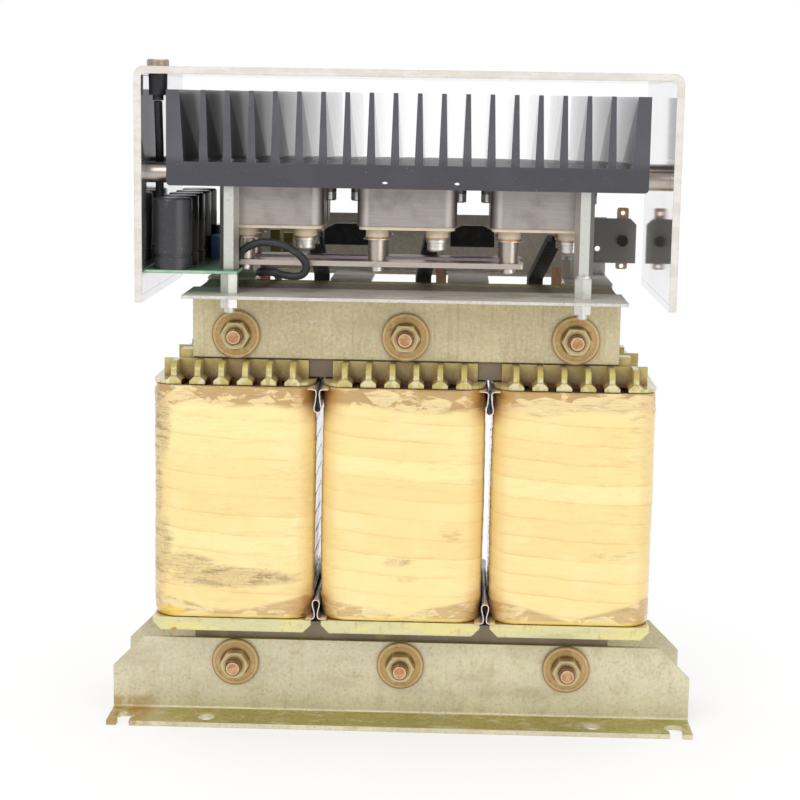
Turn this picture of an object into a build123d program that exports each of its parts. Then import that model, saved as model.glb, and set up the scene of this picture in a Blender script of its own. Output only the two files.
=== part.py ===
from build123d import *
import math
import os

# Three-limb dry type transformer with a rectifier tray on top, in millimetres.
# X runs to the right, Y to the back and Z up.
# The origin lies on the floor, at the middle of the four round base holes.

# Laminated core
limb_width = 42.0
window_height = 126.0
stack_depth = 48.0
core_bottom = 7.2
window_width = limb_width
limb_pitch = limb_width + window_width
core_width = 3 * limb_width + 2 * window_width
lower_yoke_top = core_bottom + limb_width
upper_yoke_bottom = lower_yoke_top + window_height
core_top = upper_yoke_bottom + limb_width
core_face = stack_depth / 2
lower_stud_height = core_bottom + limb_width / 2
upper_stud_height = core_top - limb_width / 2
limb_places = [-limb_pitch, 0.0, limb_pitch]
side_names = ["left", "middle", "right"]

# General clearances
seat_gap = 0.2
hole_play = 0.3

# Core clamps, folded from sheet
clamp_sheet = 2.5
clamp_bend = 1.5
clamp_face = core_face + clamp_sheet
lower_clamp_past = 41.7
lower_clamp_half = core_width / 2 + lower_clamp_past
lower_web_below_yoke = 9.1
lower_web_top = lower_yoke_top - lower_web_below_yoke
lower_chamfer = 15.7
lower_flange_reach = 21.8
base_hole_half_x = 97.5
base_hole_out = 13.0
base_hole_half_y = clamp_face + base_hole_out
base_hole = 9.0
slot_from_end = 8.1
slot_half_x = lower_clamp_half - slot_from_end
slot_round = 10.4
slot_mouth = 6.6
upper_clamp_past = 0.6
upper_clamp_half = core_width / 2 + upper_clamp_past
upper_web_above_yoke = 9.3
upper_web_drop = limb_width - upper_web_above_yoke
upper_flange_reach = 13.0

# Core studs
stud = 8.0
stud_past_nut = 5.8
nut_height = 6.5
nut_flats = 13.0
washer_outer = 24.0
washer_thick = 2.0
tube_wall = 1.0
stud_hole = stud + 2 * tube_wall + 4 * hole_play

# Bobbins and windings
bobbin_wall = 1.5
bobbin_play = 0.4
coil_gap = 3.0
coil_width = limb_pitch - coil_gap
coil_build = 21.5
coil_depth = stack_depth + 2 * coil_build
coil_corner = 14.0
wrap_above_yoke = 7.4
wrap_bottom = lower_yoke_top + wrap_above_yoke
wrap_below_yoke = 3.2
wrap_top = upper_yoke_bottom - wrap_below_yoke
wrap_thick = 1.2
tape_turns = 12
tape_step = 0.45
primary_thick = 8.2
film_gap = 0.9
comb_end_gap = 4.5
comb_width = coil_width - 2 * comb_end_gap
comb_above_window = 8.4
comb_top = upper_yoke_bottom + comb_above_window
comb_wall = 1.5
comb_ribs = 6
rib_end_gap = 6.75
rib_pitch = (comb_width - 2 * rib_end_gap) / (comb_ribs - 1)
rib_thick = 2.8
rib_inset = 5.0
rib_reach = coil_depth / 2 - rib_inset
rib_round = 5.0
foot_width = 7.4
foot_height = 3.6
flange_inset = 0.5
notch_width = 4.0
bobbin_flange = 1.6
lower_flange_height = 6.5
lower_flange_chamfer = 4.0
end_lug_width = 6.6
end_lug_height = 15.0
end_lug_thick = 9.0

# Barrier films between neighbouring coils
film = 0.3
film_loop_width = 2.5
film_loop_drop = 11.0
film_wing = 7.0
film_length = 92.0
film_bend_play = 0.1

# Sheets that carry the tray
tray_sheet = 1.5
tray_past = 0.6
tray_half = upper_clamp_half + tray_past
strip_front = 63.0
strip_rear = 19.0
bracket_front = 34.0
bracket_rear = 88.0
bracket_height = 33.0
window_span = 40.0
window_end_web = 24.7
window_pitch = tray_half - window_end_web - window_span / 2
window_rear = 82.0
sheet_bend = 1.0

# Terminal board on the rear bracket
board_overlap = 9.2
board_width = 25.4
board_above_strip = 6.7
board_tall = 24.4
board_thick = 2.0
board_chamfer = 3.2
spade_width = 6.3
spade_thick = 0.8
spade_inset = 18.0
spade_past_top = 5.9
spade_past_bottom = 3.4
spade_round = 1.2
spade_eye = 2.4
eye_hole = 3.0
eye_inset = 4.5
eye_drop = 4.5
rivet_shank = 3.0
rivet_head = 6.0
rivet_head_high = 1.6

# Pillars
pillar_flats = 8.0
corner_turn = 30.0
pillar_thread = 5.0
pillar_inset = 21.0
front_pillar_y = -46.2
rear_pillar_y = 64.0
lower_pillar = 10.0
upper_pillar = 40.0
small_nut = 4.7
small_washer = 1.0
small_washer_outer = 10.0
thread_past = 2.3
thread_in_sink = 8.0
blind_hole_past = 0.5
pillar_ring_wall = 0.6

# Control board and what it carries
pcb_thick = 1.6
pcb_wall_gap = 0.8
pcb_width = 44.2
pcb_front = -57.6
pcb_rear = 78.0
pcb_tongue_front = 50.0
pcb_tongue_right = -62.0
pcb_notch = 4.4
can_count = 5
can_outer = 18.2
can_height = 34.0
can_inset = 12.4
can_first_y = -48.8
can_pitch = 23.4
can_round = 1.2
can_groove = 0.6
can_groove_height = 6.5
can_groove_width = 1.6
film_cap_width = 5.0
film_cap_inset = 24.3
film_cap_front = 16.0
film_cap_length = 18.0
film_cap_height = 11.2
rear_cap_front = 37.0
rear_cap_length = 14.0
rear_cap_height = 15.4
film_cap_round = 1.0
trimmer_width = 5.0
front_trimmer = (51.4, 60.0)
front_trimmer_length = 7.0
front_trimmer_height = 12.0
rear_trimmer = (57.9, 66.0)
rear_trimmer_length = 8.0
rear_trimmer_height = 10.0

# Heat sink
sink_overhang = 8.0
sink_half = tray_half + sink_overhang
sink_front = 56.0
sink_rear = 70.0
sink_height = 45.0
sink_base = 11.3
inner_fins = 18
fin_tip = 2.2
fin_root = 4.2
end_fin_tip = 6.2
end_fin_root = 8.2
fin_edge = 6.28
fin_pitch = 2 * (sink_half - fin_edge) / (inner_fins + 1)
sink_round = 2.0

# Power modules
module_gap = 16.1
module_edge = 25.65
module_width = (2 * sink_half - 2 * module_gap - 2 * module_edge) / 3
module_pitch = module_width + module_gap
module_length = 53.5
module_front = -41.0
module_rear = module_front + module_length
module_middle = (module_front + module_rear) / 2
module_ear = 3.6
module_height = 18.8
module_corner = 5.0
lid_height = 1.7
lid_inset = 0.9
boss_outer = 11.3
boss_height = 3.8
terminal_side = 9.55
terminal_half_x = module_width / 2 - terminal_side
terminal_inset = 10.5
front_terminal_y = module_front + terminal_inset
rear_terminal_y = module_rear - terminal_inset
module_screw = 4.0
module_screw_past = 1.15
module_screw_half = module_width / 2 + module_screw_past
module_screw_bite = 6.0
screw_head = 6.6
screw_head_high = 3.1
screw_head_round = 1.0
screw_recess_play = 0.7
spring_washer = 1.2

# Terminals and busbars
terminal_screw = 4.0
terminal_thread = 1.0
ring_thick = 0.8
ring_outer = 12.0
flat_washer = 0.5
flat_washer_outer = 13.6
standoff_outer = 9.0
standoff_height = 10.4
busbar_thick = 2.6
busbar_width = 14.0
busbar_past = 7.2
busbar_round = 1.5
cheese_head = 6.6
cheese_head_high = 3.3
cheese_head_round = 1.2
lug_washer = 1.6
lug_washer_outer = 10.6
lug_spring = 1.5
lug_spring_outer = 9.6
lug_head = 9.6
lug_head_high = 3.0
lug_head_round = 1.4

# Sleeved straps and bare tails from the windings up to the modules
strap_width = 8.0
strap_thick = 3.0
strap_bend = 2.0
strap_offsets = [37.2, 7.0, -18.0]
strap_inset = 0.3
strap_foot_y = coil_depth / 2 - strap_inset
strap_knee = 1.6
strap_end = 9.5
strap_level_run = 6.0
tail_offsets = [7.0, 16.4, -6.6]
tail_width = 5.4
tail_thick = 2.4
tail_above_strip = 7.0

# Thick sleeved jumpers from each module to the next
jumper = 9.0
jumper_y = 15.0
jumper_start = 6.4
jumper_rise = 3.3
jumper_sag = 1.8
jumper_round = 2.8

# Outer cover
spacer_length = 11.0
cover_sheet = 3.5
cover_inner = sink_half + spacer_length
cover_half = cover_inner + cover_sheet
cover_front = 60.8
cover_rear = 75.0
cover_past_strip = 3.9
fin_air = 7.2
cover_bend = 1.2
side_screw_front = -42.0
side_screw_rear = 45.0
side_spacer = 10.0
side_screw = 4.0
side_screw_head = 8.0
side_screw_bite = 9.0

# Panel lamp and its lead
lamp_inset = 5.8
lamp_y = -46.0
lamp_cap = 10.6
lamp_cap_high = 3.4
lamp_cap_round = 0.6
lamp_boot = 9.0
lamp_boot_low = 8.6
lamp_boot_high = 10.0
lamp_collar = 5.2
lamp_collar_high = 2.4
lamp_hole = 8.0
lead = 4.0
loop_lead = 3.8
socket_side = 5.0

# Routes of the two leads, point by point
lamp_route = [
    (-119.4, -46.0, 309.6), (-119.4, -44.4, 299.8), (-120.2, -37.0, 288.0), (-121.0, -31.2, 274.0),
    (-121.0, -33.8, 260.0), (-120.2, -37.0, 247.6), (-120.0, -37.1, 235.8),
]
loop_route = [
    (-84.0, -39.9, 231.2), (-82.5, -40.2, 235.4), (-78.2, -41.4, 240.2), (-71.4, -43.2, 243.2),
    (-64.4, -44.2, 243.2), (-57.4, -44.6, 241.4), (-51.9, -44.6, 238.0), (-48.5, -44.4, 234.2),
    (-48.0, -44.1, 231.0), (-49.4, -43.8, 228.2), (-52.4, -43.4, 226.9), (-58.0, -42.4, 227.1),
    (-64.6, -38.8, 228.2), (-70.6, -31.4, 228.2), (-73.6, -20.0, 226.6), (-74.6, -6.0, 224.8),
    (-74.4, 8.0, 223.8), (-73.0, 22.0, 223.6), (-71.0, 34.0, 222.8), (-69.6, 44.6, 217.4),
    (-69.4, 48.8, 205.0), (-69.6, 47.4, 189.0), (-70.2, 44.6, 172.4),
]

# Levels and places that follow from the sizes above
strip_top = core_top + tray_sheet
pcb_bottom = strip_top + lower_pillar
pcb_top = pcb_bottom + pcb_thick
pcb_left = pcb_wall_gap - cover_inner
pcb_right = pcb_left + pcb_width
can_x = pcb_left + can_inset
sink_bottom = pcb_top + upper_pillar
sink_top = sink_bottom + sink_height
side_screw_height = sink_bottom + sink_base / 2
case_bottom = sink_bottom - module_height
lid_bottom = case_bottom - lid_height
boss_bottom = lid_bottom - boss_height
busbar_top = boss_bottom - ring_thick - flat_washer - standoff_height
busbar_bottom = busbar_top - busbar_thick
cover_inner_top = sink_top + fin_air
cover_top = cover_inner_top + cover_sheet
cover_bottom = strip_top - cover_past_strip
lamp_x = lamp_inset - cover_inner
board_left = tray_half - board_overlap
board_right = board_left + board_width
board_low = strip_top + board_above_strip
board_high = board_low + board_tall
spade_x = board_left + spade_inset
pillar_x = tray_half - pillar_inset
ring_bottom = boss_bottom - ring_thick
strap_foot_z = wrap_top + film + 2 * seat_gap
strap_foot_x = [x + offset for x, offset in zip(limb_places, strap_offsets)]
tail_x = [x + offset for x, offset in zip(limb_places, tail_offsets)]
module_places = [-module_pitch, 0.0, module_pitch]
pillar_spots = [
    (side * pillar_x, y) for side in (-1, 1) for y in (front_pillar_y, rear_pillar_y)
]
side_screw_spots = [
    (side, y) for side in (-1, 1) for y in (side_screw_front, side_screw_rear)
]
stud_spots = [
    (x, height) for height in (lower_stud_height, upper_stud_height) for x in limb_places
]
bore_past = 1.0

os.makedirs("parts", exist_ok=True)


def save(name, *pieces):
    if len(pieces) == 1:
        shape = pieces[0]
    else:
        shape = Compound(children=list(pieces))
    export_step(shape, "parts/" + name + ".step")


def block(x_low, x_high, y_low, y_high, z_low, z_high):
    size = (x_high - x_low, y_high - y_low, z_high - z_low)
    middle = ((x_low + x_high) / 2, (y_low + y_high) / 2, (z_low + z_high) / 2)
    return Pos(*middle) * Box(*size)


def upright(radius, x, y, z_low, z_high):
    return Pos(x, y, (z_low + z_high) / 2) * Cylinder(radius, z_high - z_low)


def along_y(radius, x, z, y_low, y_high):
    return Pos(x, (y_low + y_high) / 2, z) * Rot(90, 0, 0) * Cylinder(radius, y_high - y_low)


def along_x(radius, y, z, x_low, x_high):
    return Pos((x_low + x_high) / 2, y, z) * Rot(0, 90, 0) * Cylinder(radius, x_high - x_low)


def hexagon_up(flats, x, y, z_low, z_high, turn=0.0):
    outline = Rot(0, 0, turn) * RegularPolygon(flats / 2, 6, major_radius=False)
    return Pos(x, y, z_low) * extrude(outline, z_high - z_low)


def outline_of(points, rounds=()):
    face = make_face(Polyline(*points, close=True))
    for corner, radius in rounds:
        near = face.vertices().sort_by_distance(Vector(corner[0], corner[1], 0))[0]
        face = fillet(near, radius)
    return face


def extrude_x(points, x_low, x_high, rounds=()):
    face = Plane.YZ * outline_of(points, rounds)
    return Pos(x_low, 0, 0) * extrude(face, x_high - x_low)


def extrude_y(points, y_low, y_high, rounds=()):
    face = Plane.XZ * outline_of(points, rounds)
    return Pos(0, y_high, 0) * extrude(face, y_high - y_low)


def rounded_prism(width, depth, corner, x, z_low, z_high):
    return Pos(x, 0, z_low) * extrude(RectangleRounded(width, depth, corner), z_high - z_low)


def mirrored_pair(piece):
    return [piece, mirror(piece, Plane.XZ)]


# Core

def core_parts():
    back, front = core_face, -core_face
    half = core_width / 2
    limbs = block(-half, half, front, back, core_bottom, upper_yoke_bottom)
    for side in (-1, 1):
        middle = side * limb_pitch / 2
        window = (middle - window_width / 2, middle + window_width / 2)
        limbs -= block(*window, front, back, lower_yoke_top, upper_yoke_bottom)
    yoke = block(-half, half, front, back, upper_yoke_bottom, core_top)
    for x in limb_places:
        limbs -= along_y(stud_hole / 2, x, lower_stud_height, front, back)
        yoke -= along_y(stud_hole / 2, x, upper_stud_height, front, back)
    save("core_limb_stack", limbs)
    save("core_upper_yoke", yoke)


# Core clamps

def lower_clamp():
    outer = clamp_bend + clamp_sheet
    face, back = -clamp_face, -core_face
    edge = face - lower_flange_reach
    section = [
        (edge, 0), (back, 0), (back, lower_web_top), (face, lower_web_top),
        (face, clamp_sheet), (edge, clamp_sheet),
    ]
    rounds = [((back, 0), outer), ((face, clamp_sheet), clamp_bend)]
    clamp = extrude_x(section, -lower_clamp_half, lower_clamp_half, rounds)
    low = lower_web_top - lower_chamfer
    for side in (-1, 1):
        end = side * lower_clamp_half
        tip = side * (lower_clamp_half - lower_chamfer)
        beyond = side * (lower_clamp_half + bore_past)
        above = lower_web_top + bore_past
        corner = [(end, low), (tip, lower_web_top), (tip, above), (beyond, above), (beyond, low)]
        clamp -= extrude_y(corner, face - bore_past, back + bore_past)
        clamp -= upright(base_hole / 2, side * base_hole_half_x, -base_hole_half_y,
                         -bore_past, clamp_sheet + bore_past)
        slot_x = side * slot_half_x
        clamp -= upright(slot_round / 2, slot_x, -base_hole_half_y,
                         -bore_past, clamp_sheet + bore_past)
        clamp -= block(slot_x - slot_mouth / 2, slot_x + slot_mouth / 2,
                       edge - bore_past, -base_hole_half_y, -bore_past, clamp_sheet + bore_past)
    for x in limb_places:
        clamp -= along_y(stud / 2 + hole_play, x, lower_stud_height,
                         face - bore_past, back + bore_past)
    return clamp


def upper_clamp():
    outer = clamp_bend + clamp_sheet
    face, back = -clamp_face, -core_face
    edge = face - upper_flange_reach
    under = core_top - clamp_sheet
    section = [
        (edge, core_top), (back, core_top), (back, core_top - upper_web_drop),
        (face, core_top - upper_web_drop), (face, under), (edge, under),
    ]
    rounds = [((back, core_top), outer), ((face, under), clamp_bend)]
    clamp = extrude_x(section, -upper_clamp_half, upper_clamp_half, rounds)
    for x in limb_places:
        clamp -= along_y(stud / 2 + hole_play, x, upper_stud_height,
                         face - bore_past, back + bore_past)
    return clamp


def clamp_parts():
    front, rear = mirrored_pair(lower_clamp())
    save("lower_front_clamp", front)
    save("lower_rear_clamp", rear)
    front, rear = mirrored_pair(upper_clamp())
    save("upper_front_clamp", front)
    save("upper_rear_clamp", rear)


# Studs that draw the clamps on to the core

def stud_parts():
    washer_face = clamp_face + washer_thick
    nut_face = washer_face + nut_height
    stud_end = nut_face + stud_past_nut
    studs, nuts, washers, tubes = [], [], [], []
    for x, height in stud_spots:
        rod = along_y(stud / 2, x, height, -stud_end, stud_end)
        ends = rod.faces().filter_by(Axis.Y).edges()
        studs.append(chamfer(ends, stud / 10))
        tube = along_y(stud / 2 + hole_play + tube_wall, x, height, -core_face, core_face)
        tubes.append(tube - along_y(stud / 2 + hole_play, x, height, -core_face, core_face))
        for side in (-1, 1):
            near, far = sorted((side * clamp_face, side * washer_face))
            ring = along_y(washer_outer / 2, x, height, near, far)
            washers.append(ring - along_y(stud / 2 + hole_play, x, height, near, far))
            near, far = sorted((side * washer_face, side * nut_face))
            outline = Plane.XZ * RegularPolygon(nut_flats / 2, 6, major_radius=False)
            nut = Pos(x, far, height) * extrude(outline, far - near)
            nuts.append(nut - along_y(stud / 2, x, height, near, far))
    save("core_studs", *studs)
    save("stud_nuts", *nuts)
    save("stud_washers", *washers)
    save("stud_insulating_tubes", *tubes)


# Bobbins: a tube round each limb, a comb at the top and a plain flange at the bottom

def bobbin_tube_size():
    width = limb_width + 2 * bobbin_play
    depth = stack_depth + 2 * bobbin_play
    return width, depth


def comb(x):
    back = -core_face - seat_gap
    face = back - comb_wall
    foot_bottom = wrap_top + film_gap
    half = comb_width / 2
    wall = block(x - half, x + half, face, back, foot_bottom, comb_top)
    result = wall
    for number in range(comb_ribs):
        rib_x = x + (number - (comb_ribs - 1) / 2) * rib_pitch
        side = [
            (back, foot_bottom), (-rib_reach, foot_bottom), (-rib_reach, comb_top),
            (back, comb_top),
        ]
        round_corner = [((-rib_reach, comb_top), rib_round)]
        result += extrude_x(side, rib_x - rib_thick / 2, rib_x + rib_thick / 2, round_corner)
        spread = foot_width / 2
        thin = rib_thick / 2
        foot_top = foot_bottom + foot_height
        foot = [
            (rib_x - spread, foot_bottom), (rib_x + spread, foot_bottom),
            (rib_x + spread, foot_bottom + foot_height / 2), (rib_x + thin, foot_top),
            (rib_x - thin, foot_top), (rib_x - spread, foot_bottom + foot_height / 2),
        ]
        result += extrude_y(foot, -rib_reach - rib_thick / 2, back)
    return result


def upper_flange(x):
    width = coil_width - 2 * flange_inset
    reach = rib_reach + rib_thick / 2
    floor = wrap_top + film_gap
    flange = Pos(x, 0, floor) * extrude(
        RectangleRounded(width, 2 * reach, coil_corner - rib_thick), bobbin_flange)
    gap_front = -core_face - seat_gap - comb_wall
    for number in range(comb_ribs - 1):
        gap_x = x + (number - (comb_ribs - 2) / 2) * rib_pitch
        for side in (-1, 1):
            near, far = sorted((side * gap_front * -1, side * (reach + bore_past)))
            flange -= block(gap_x - notch_width / 2, gap_x + notch_width / 2, near, far,
                            floor - bore_past, floor + bobbin_flange + bore_past)
    return flange


def lower_flange(x):
    low = lower_yoke_top + seat_gap
    high = wrap_bottom - film_gap
    back = -core_face - seat_gap
    half = coil_width / 2 - 2 * flange_inset
    cut = lower_flange_chamfer
    front = [
        (x - half + cut, high - lower_flange_height), (x + half - cut, high - lower_flange_height),
        (x + half, high - lower_flange_height + cut), (x + half, high),
        (x - half, high), (x - half, high - lower_flange_height + cut),
    ]
    outer = extrude_y(front, 2 * flange_inset - coil_depth / 2, back)
    plate = block(x - half, x + half, back, -back, high - bobbin_flange, high)
    return outer + mirror(outer, Plane.XZ) + plate


def bobbin(x):
    width, depth = bobbin_tube_size()
    bottom = lower_yoke_top + seat_gap
    top = upper_yoke_bottom - seat_gap
    outer = rounded_prism(width + 2 * bobbin_wall, depth + 2 * bobbin_wall, bobbin_wall,
                          x, bottom, top)
    front_comb = comb(x)
    body = outer + upper_flange(x) + lower_flange(x) + front_comb + mirror(front_comb, Plane.XZ)
    if x != 0:
        side = math.copysign(1, x)
        inner = side * (core_width / 2 + seat_gap)
        near, far = sorted((inner, inner + side * end_lug_width))
        floor = wrap_top + film_gap
        lug = block(near, far, -core_face, -core_face + end_lug_thick, floor, floor + end_lug_height)
        body += lug + mirror(lug, Plane.XZ)
    return body - block(x - width / 2, x + width / 2, -depth / 2, depth / 2,
                        bottom - bore_past, top + bore_past)


# Windings and the taped outer wrap

def winding_ring(x, inner, outer, z_low, z_high):
    inner_width, inner_depth, inner_corner = inner
    outer_width, outer_depth, outer_corner = outer
    ring = rounded_prism(outer_width, outer_depth, outer_corner, x, z_low, z_high)
    return ring - rounded_prism(inner_width, inner_depth, inner_corner, x, z_low, z_high)


def grown(size, amount):
    width, depth, corner = size
    return (width + 2 * amount, depth + 2 * amount, corner + amount)


def wrap_sizes():
    outer = (coil_width - 2 * tape_step, coil_depth - 2 * tape_step, coil_corner)
    inner = grown(outer, -wrap_thick)
    return inner, outer


def taped_wrap(x):
    inner, outer = wrap_sizes()
    turn = (wrap_top - wrap_bottom) / tape_turns
    shell = None
    for number in range(tape_turns):
        low = wrap_bottom + number * turn
        wide = grown(outer, tape_step)
        foot = Plane(origin=(x, 0, low)) * RectangleRounded(*wide)
        head = Plane(origin=(x, 0, low + turn)) * RectangleRounded(*outer)
        band = loft([foot, head], ruled=True)
        shell = band if shell is None else shell + band
    return shell - rounded_prism(*inner, x, wrap_bottom - bore_past, wrap_top + bore_past)


def coil_parts():
    width, depth = bobbin_tube_size()
    former = (width + 2 * bobbin_wall, depth + 2 * bobbin_wall, bobbin_wall)
    primary_inner = grown(former, seat_gap)
    primary_outer = grown(primary_inner, primary_thick)
    secondary_inner = grown(primary_outer, seat_gap)
    wrap_inner, _ = wrap_sizes()
    secondary_outer = grown(wrap_inner, -seat_gap)
    primaries, secondaries = [], []
    for name, x in zip(side_names, limb_places):
        save("bobbin_" + name, bobbin(x))
        save("outer_wrap_" + name, taped_wrap(x))
        primaries.append(winding_ring(x, primary_inner, primary_outer, wrap_bottom, wrap_top))
        secondaries.append(winding_ring(x, secondary_inner, secondary_outer, wrap_bottom, wrap_top))
    save("primary_windings", *primaries)
    save("secondary_windings", *secondaries)


# Barrier films: a loop pressed into the gap between two coils, with a wing each way

def film_loop(middle, level, direction):
    half = film_loop_width / 2
    deep = level + direction * film_loop_drop
    neck = film_loop_width / 2 - film
    path_outer = [
        (middle - film_wing, level), (middle - half, level), (middle - half, deep),
        (middle + half, deep), (middle + half, level), (middle + film_wing, level),
    ]
    lift = -direction * film
    path_inner = [
        (middle + film_wing, level + lift), (middle + neck, level + lift),
        (middle + neck, deep + lift), (middle - neck, deep + lift),
        (middle - neck, level + lift), (middle - film_wing, level + lift),
    ]
    bend = film_loop_width / 2 - film - film_bend_play
    rounds = [((middle - half, deep), bend + film), ((middle + half, deep), bend + film)]
    rounds += [((middle - neck, deep + lift), bend), ((middle + neck, deep + lift), bend)]
    return extrude_y(path_outer + path_inner, -film_length / 2, film_length / 2, rounds)


def film_parts():
    loops = []
    for side in (-1, 1):
        middle = side * limb_pitch / 2
        loops.append(film_loop(middle, wrap_top + seat_gap, -1))
        loops.append(film_loop(middle, wrap_bottom - seat_gap, 1))
    save("barrier_films", *loops)


# Sheets that carry the rectifier tray

def strip_sheet():
    strip = block(-tray_half, tray_half, -strip_front, -strip_rear, core_top, strip_top)
    for side in (-1, 1):
        strip -= upright(pillar_thread / 2 + hole_play, side * pillar_x, front_pillar_y,
                         core_top, strip_top)
    return strip


def rear_bracket():
    outer = sheet_bend + tray_sheet
    top = core_top + bracket_height
    section = [
        (bracket_front, core_top), (bracket_rear, core_top), (bracket_rear, top),
        (bracket_rear - tray_sheet, top), (bracket_rear - tray_sheet, strip_top),
        (bracket_front, strip_top),
    ]
    rounds = [((bracket_rear, core_top), outer),
              ((bracket_rear - tray_sheet, strip_top), sheet_bend)]
    bracket = extrude_x(section, -tray_half, tray_half, rounds)
    for number in (-1, 0, 1):
        middle = number * window_pitch
        bracket -= block(middle - window_span / 2, middle + window_span / 2,
                         bracket_front - bore_past, window_rear,
                         core_top - bore_past, strip_top + bore_past)
    for side in (-1, 1):
        bracket -= upright(pillar_thread / 2 + hole_play, side * pillar_x, rear_pillar_y,
                           core_top, strip_top)
    eye_x, eye_z = board_eye()
    return bracket - along_y(eye_hole / 2, eye_x, eye_z, bracket_rear - tray_sheet, bracket_rear)


def board_eye():
    return board_left + eye_inset, (board_low + board_high) / 2 - eye_drop


def terminal_board_parts():
    face = bracket_rear - tray_sheet
    front = face - board_thick
    outline = [
        (board_left, board_low), (board_right, board_low), (board_right, board_high - board_chamfer),
        (board_right - board_chamfer, board_high), (board_left, board_high),
    ]
    board = extrude_y(outline, front, face)
    rivet_z = (board_low + board_high) / 2
    board -= along_y(eye_hole / 2, *board_eye(), front, face)
    board -= along_y(rivet_shank / 2, spade_x, rivet_z, front, face)
    strip = block(spade_x - spade_width / 2, spade_x + spade_width / 2, face, face + spade_thick,
                  board_low - spade_past_bottom, board_high + spade_past_top)
    strip = fillet(strip.edges().filter_by(Axis.Y), spade_round)
    strip -= along_y(rivet_shank / 2, spade_x, rivet_z, face, face + spade_thick)
    for eye_z in (board_low - spade_past_bottom / 2, board_high + spade_past_top / 2):
        strip -= along_y(spade_eye / 2, spade_x, eye_z, face, face + spade_thick)
    shank = along_y(rivet_shank / 2, spade_x, rivet_z, front, face + spade_thick)
    head = along_y(rivet_head / 2, spade_x, rivet_z, front - rivet_head_high, front)
    tail = along_y(rivet_head / 2, spade_x, rivet_z, face + spade_thick,
                   face + spade_thick + rivet_head_high)
    save("terminal_board", board)
    save("spade_terminal", strip)
    save("terminal_rivet", head + shank + tail)


def tray_parts():
    save("front_support_strip", strip_sheet())
    save("rear_support_bracket", rear_bracket())
    terminal_board_parts()


# Hexagonal pillars between the sheets, the control board and the heat sink

def pillar_parts():
    lowers, uppers, rings, nuts, washers = [], [], [], [], []
    for x, y in pillar_spots:
        radius = pillar_thread / 2
        under = core_top - small_washer
        below = under - small_nut
        post = hexagon_up(pillar_flats, x, y, strip_top, pcb_bottom, corner_turn)
        post += upright(radius, x, y, below - thread_past, strip_top)
        lowers.append(post)
        post = hexagon_up(pillar_flats, x, y, pcb_top, sink_bottom)
        post += upright(radius, x, y, pcb_bottom, pcb_top)
        post += upright(radius, x, y, sink_bottom, sink_bottom + thread_in_sink)
        uppers.append(post)
        if x > 0:
            ring = upright(pillar_flats / 2 + pillar_ring_wall, x, y, pcb_bottom, pcb_top)
            rings.append(ring - upright(radius + hole_play, x, y, pcb_bottom, pcb_top))
        washer = upright(small_washer_outer / 2, x, y, under, core_top)
        washers.append(washer - upright(radius + hole_play, x, y, under, core_top))
        nut = hexagon_up(pillar_flats, x, y, below, under, corner_turn)
        nuts.append(nut - upright(radius, x, y, below, under))
    save("lower_pillars", *lowers)
    save("upper_pillars", *uppers)
    save("pillar_rings", *rings)
    save("pillar_nuts", *nuts)
    save("pillar_washers", *washers)


# Control board

def board_outline():
    return [
        (pcb_left, pcb_front), (pcb_right, pcb_front), (pcb_right, pcb_tongue_front),
        (pcb_tongue_right, pcb_tongue_front), (pcb_tongue_right, pcb_rear),
        (pcb_left, pcb_rear),
    ]


def can(y):
    body = upright(can_outer / 2, can_x, y, pcb_top, pcb_top + can_height)
    body = fillet(body.faces().sort_by(Axis.Z)[-1].edges(), can_round)
    low = pcb_top + can_groove_height - can_groove_width / 2
    high = low + can_groove_width
    ring = upright(can_outer / 2 + bore_past, can_x, y, low, high)
    return body - (ring - upright(can_outer / 2 - can_groove, can_x, y, low, high))


def standing_block(x, front, width, length, height):
    return block(x - width / 2, x + width / 2, front, front + length, pcb_top, pcb_top + height)


def film_capacitors():
    x = pcb_left + film_cap_inset
    pair = [
        standing_block(x, film_cap_front, film_cap_width, film_cap_length, film_cap_height),
        standing_block(x, rear_cap_front, film_cap_width, rear_cap_length, rear_cap_height),
    ]
    return [fillet(piece.edges().filter_by(Axis.Z), film_cap_round) for piece in pair]


def trimmers():
    sizes = [
        (front_trimmer, front_trimmer_length, front_trimmer_height),
        (rear_trimmer, rear_trimmer_length, rear_trimmer_height),
    ]
    return [
        standing_block(pcb_left + inset, y - length / 2, trimmer_width, length, height)
        for (inset, y), length, height in sizes
    ]


def lead_socket():
    half = socket_side / 2
    x, y, z = lamp_route[-1]
    return block(x - half, x + half, y - half, y + half, pcb_top, z - seat_gap)


def board_parts():
    board = Pos(0, 0, pcb_bottom) * extrude(outline_of(board_outline()), pcb_thick)
    for y in (front_pillar_y, rear_pillar_y):
        board -= upright(pillar_thread / 2 + hole_play, -pillar_x, y, pcb_bottom, pcb_top)
    for y in (front_terminal_y, rear_terminal_y):
        board -= upright(pcb_notch, module_places[0] - terminal_half_x, y, pcb_bottom, pcb_top)
    save("control_board", board)
    save("board_cans", *[can(can_first_y + number * can_pitch) for number in range(can_count)])
    save("film_capacitor", *film_capacitors())
    save("trimmer_blocks", *trimmers())
    save("lead_sockets", lead_socket())


# Heat sink

def sink_section():
    floor = sink_bottom + sink_base
    points = [(-sink_half, sink_bottom), (sink_half, sink_bottom), (sink_half, sink_top),
              (sink_half - end_fin_tip, sink_top), (sink_half - end_fin_root, floor)]
    for number in reversed(range(inner_fins)):
        middle = (number - (inner_fins - 1) / 2) * fin_pitch
        points += [(middle + fin_root / 2, floor), (middle + fin_tip / 2, sink_top),
                   (middle - fin_tip / 2, sink_top), (middle - fin_root / 2, floor)]
    points += [(-sink_half + end_fin_root, floor), (-sink_half + end_fin_tip, sink_top),
               (-sink_half, sink_top)]
    return points


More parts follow.
